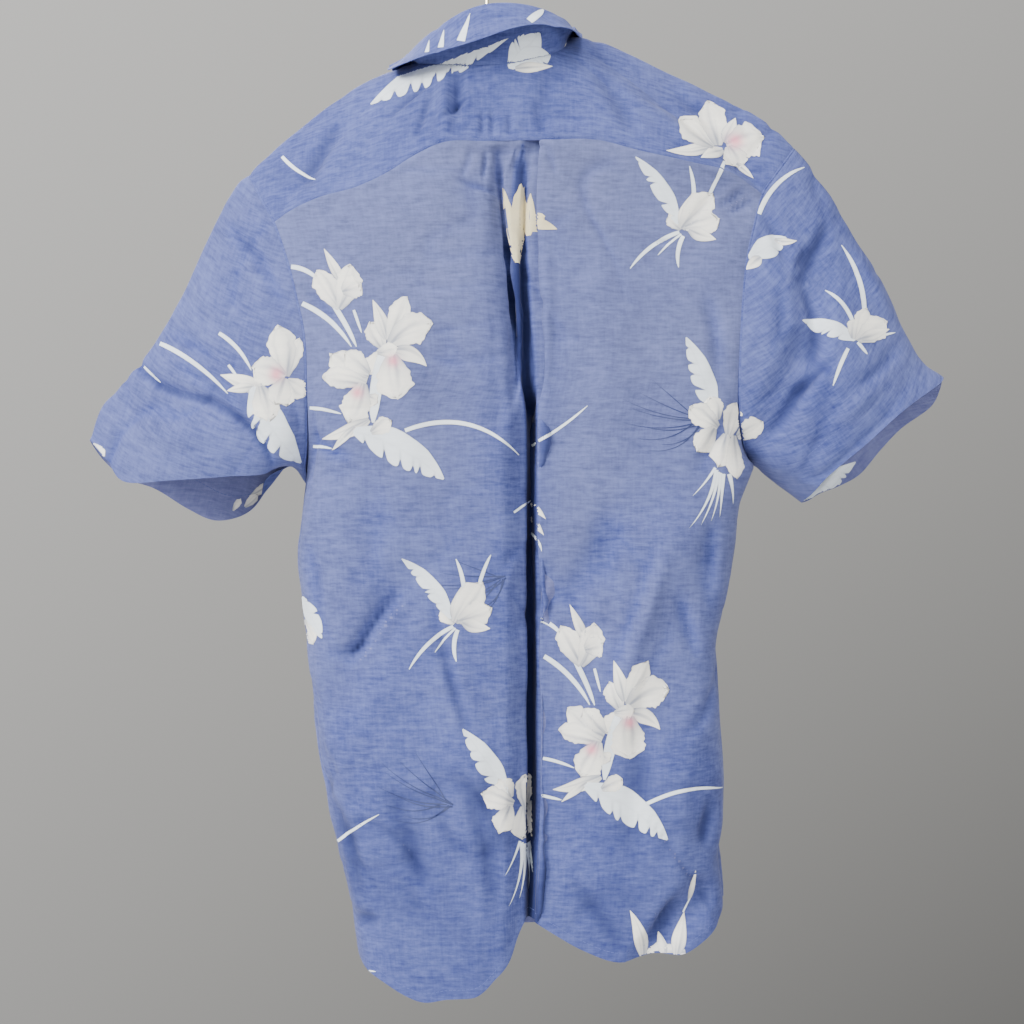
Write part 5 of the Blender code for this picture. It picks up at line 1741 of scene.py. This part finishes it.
def add_cross(form):
    """The two threads that cross on a button."""
    for turn in (45, 135):
        before = len(form.faces)
        spin = Matrix.Rotation(math.radians(turn), 4, "Z") @ Matrix.Rotation(math.pi / 2, 4, "Y")
        lift = Matrix.Translation((0, 0, THREAD_HEIGHT * MM))
        bmesh.ops.create_cone(
            form, cap_ends=True, segments=10, radius1=THREAD_RADIUS * MM, radius2=THREAD_RADIUS * MM,
            depth=2.8 * HOLE_PLACE * MM, matrix=lift @ spin,
        )
        form.faces.ensure_lookup_table()
        for face in form.faces[before:]:
            face.material_index = 2


def button_mesh(name, finishes):
    """A button with a raised rim, four holes drawn as flat dark discs of painted shade, and a cross of
    thread.
    """
    form = bmesh.new()
    add_disc(form)
    # Each hole is a flat dark disc of painted shade.
    for x in (-HOLE_PLACE, HOLE_PLACE):
        for y in (-HOLE_PLACE, HOLE_PLACE):
            hole_shade = ring_points(HOLE_RADIUS, HOLE_HEIGHT, 12) + (x, y, 0)
            form.faces.new([form.verts.new(p * MM) for p in hole_shade]).material_index = 1
    add_cross(form)
    mesh = bpy.data.meshes.new(name)
    form.to_mesh(mesh)
    form.free()
    mesh.shade_smooth()
    mesh.set_sharp_from_angle(angle=math.radians(40))
    for finish in finishes:
        mesh.materials.append(finish)
    return mesh


def add_buttons(panel, finishes):
    """The buttons down the middle of the left front."""
    flat, facing = panel.points.reshape(-1, 3), panel.normal.reshape(-1, 3)
    mesh = button_mesh("button", finishes)
    for number in range(BUTTON_COUNT):
        z = FIRST_BUTTON_Z - number * BUTTON_SPACING
        x = float(column(FRONT_MIDDLE, 1, z))
        nearest = np.argmin(np.hypot(flat[:, 0] - x, flat[:, 2] - z))
        button = link(f"shirt_button_{number + 1}", mesh)
        out = Vector(facing[nearest])
        button.location = Vector(flat[nearest] * MM) + out * BUTTON_OFFSET * MM
        button.rotation_euler = out.to_track_quat("Z", "Y").to_euler()
        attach(button, "root")
        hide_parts(f"button_{number + 1}")


def finish_hanger():
    """The bar and the hook keep their solids and get their real finishes."""
    finishes = {"hanger_bar": wood_material(), "hanger_hook": plain_material("steel_wire", STEEL, 0.28, 1.0)}
    for name, finish in finishes.items():
        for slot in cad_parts[name].material_slots:
            slot.link = "OBJECT"
            slot.material = finish


# ---------------------------------------------------------------------------------------------
# Stage
# ---------------------------------------------------------------------------------------------

CAMERA_AT = (0.0208, -1.25, -0.4796)
# 1,200 mm away the lens sees 409.6 mm to each side of its axis.
SENSOR_HALF = 18
CAMERA_LENS = SENSOR_HALF / (409.6 / 1200)
LIGHTS = (  # name, place, power, size
    ("key", (-2.0, -1.7, 0.8), 155, 1.1), ("fill", (1.7, -1.9, -0.1), 48, 2.0),
    ("top", (0.2, -0.5, 2.0), 40, 1.2), ("low", (-0.8, -1.3, -1.5), 9, 1.0),
    ("far", (-0.9, 2.1, 1.5), 100, 1.2),
)
LIGHTS_AIM = (0.02, 0, -0.48)
FLOOR_Z, FLOOR_REACH = -1.7, 2.0
# The wall's strength, from where it is darkest to where it is lightest along its slant
WALL_SLANT = (-0.5, 0.0, 0.7)
WALL_DARK, WALL_LIGHT = 0.16, 1.5


def add_stage():
    """A plain pale floor, and soft light from the upper left like the studio's."""
    low, far = FLOOR_Z, FLOOR_REACH
    floor = bpy.data.meshes.new("floor")
    corners = [(-far, -far, low), (far, -far, low), (far, far, low), (-far, far, low)]
    floor.from_pydata(corners, [], [(0, 1, 2, 3)])
    floor.materials.append(plain_material("floor", FLOOR_COLOR, 0.8))
    link("floor", floor)
    bpy.context.scene.world = studio_world()
    for name, at, power, size in LIGHTS:
        data = bpy.data.lights.new(name, "AREA")
        data.energy = power
        data.size = size
        aim(link(name, data), at, LIGHTS_AIM)


def studio_world():
    """A grey wall all round, lighter to the upper left."""
    world = bpy.data.worlds.new("studio")
    world.use_nodes = True
    nodes, links = world.node_tree.nodes, world.node_tree.links
    way = nodes.new("ShaderNodeTexCoord").outputs["Generated"]
    slant = nodes.new("ShaderNodeVectorMath")
    slant.operation = "DOT_PRODUCT"
    slant.inputs[1].default_value = WALL_SLANT
    links.new(way, slant.inputs[0])
    share = nodes.new("ShaderNodeMapRange")
    share.inputs["From Min"].default_value = -0.5
    share.inputs["From Max"].default_value = 0.5
    share.inputs["To Min"].default_value = WALL_DARK
    share.inputs["To Max"].default_value = WALL_LIGHT
    links.new(slant.outputs["Value"], share.inputs["Value"])
    links.new(share.outputs[0], nodes["Background"].inputs["Strength"])
    nodes["Background"].inputs["Color"].default_value = (*WALL_COLOR, 1)
    return world


def aim(made, at, towards):
    """Puts a lamp at a place and turns it towards another."""
    made.location = at
    direction = Vector(towards) - Vector(at)
    made.rotation_euler = direction.to_track_quat("-Z", "Y").to_euler()


def add_camera():
    """The photo's camera, level and square to the shirt's back."""
    data = bpy.data.cameras.new("camera")
    data.lens = CAMERA_LENS
    data.sensor_width = 2 * SENSOR_HALF
    made = link("camera", data)
    made.location = CAMERA_AT
    made.rotation_euler = (math.pi / 2, 0, 0)
    bpy.context.scene.camera = made


def main():
    """Builds every piece and the stage round them."""
    panels = make_panels()
    thread = plain_material("thread", THREAD, 0.8)
    prints = add_print(panels, ink_material())
    stitches = add_stitches(panels, thread)
    outside = chambray("chambray_outside", BLUE_DEEP, BLUE_LIGHT, BLUE_GREY)
    inside = chambray("chambray_inside", INSIDE_DEEP, INSIDE_LIGHT, INSIDE_LIGHT)
    rolls = add_seam_rolls(panels, outside)
    for made in (*prints.values(), *stitches.values(), *rolls.values()):
        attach(made, "root")
    extras = (prints, stitches, rolls)
    on_cloth = {name: [group[name] for group in extras if name in group] for name in panels}
    # The holes' finish is a painted shade.
    add_buttons(panels["front_left"], (button_material(), plain_material("hole_shade", HOLE_SHADE, 0.6), thread))
    add_cloth_pieces(panels, on_cloth, outside, inside)
    finish_hanger()
    add_stage()
    add_camera()


main()
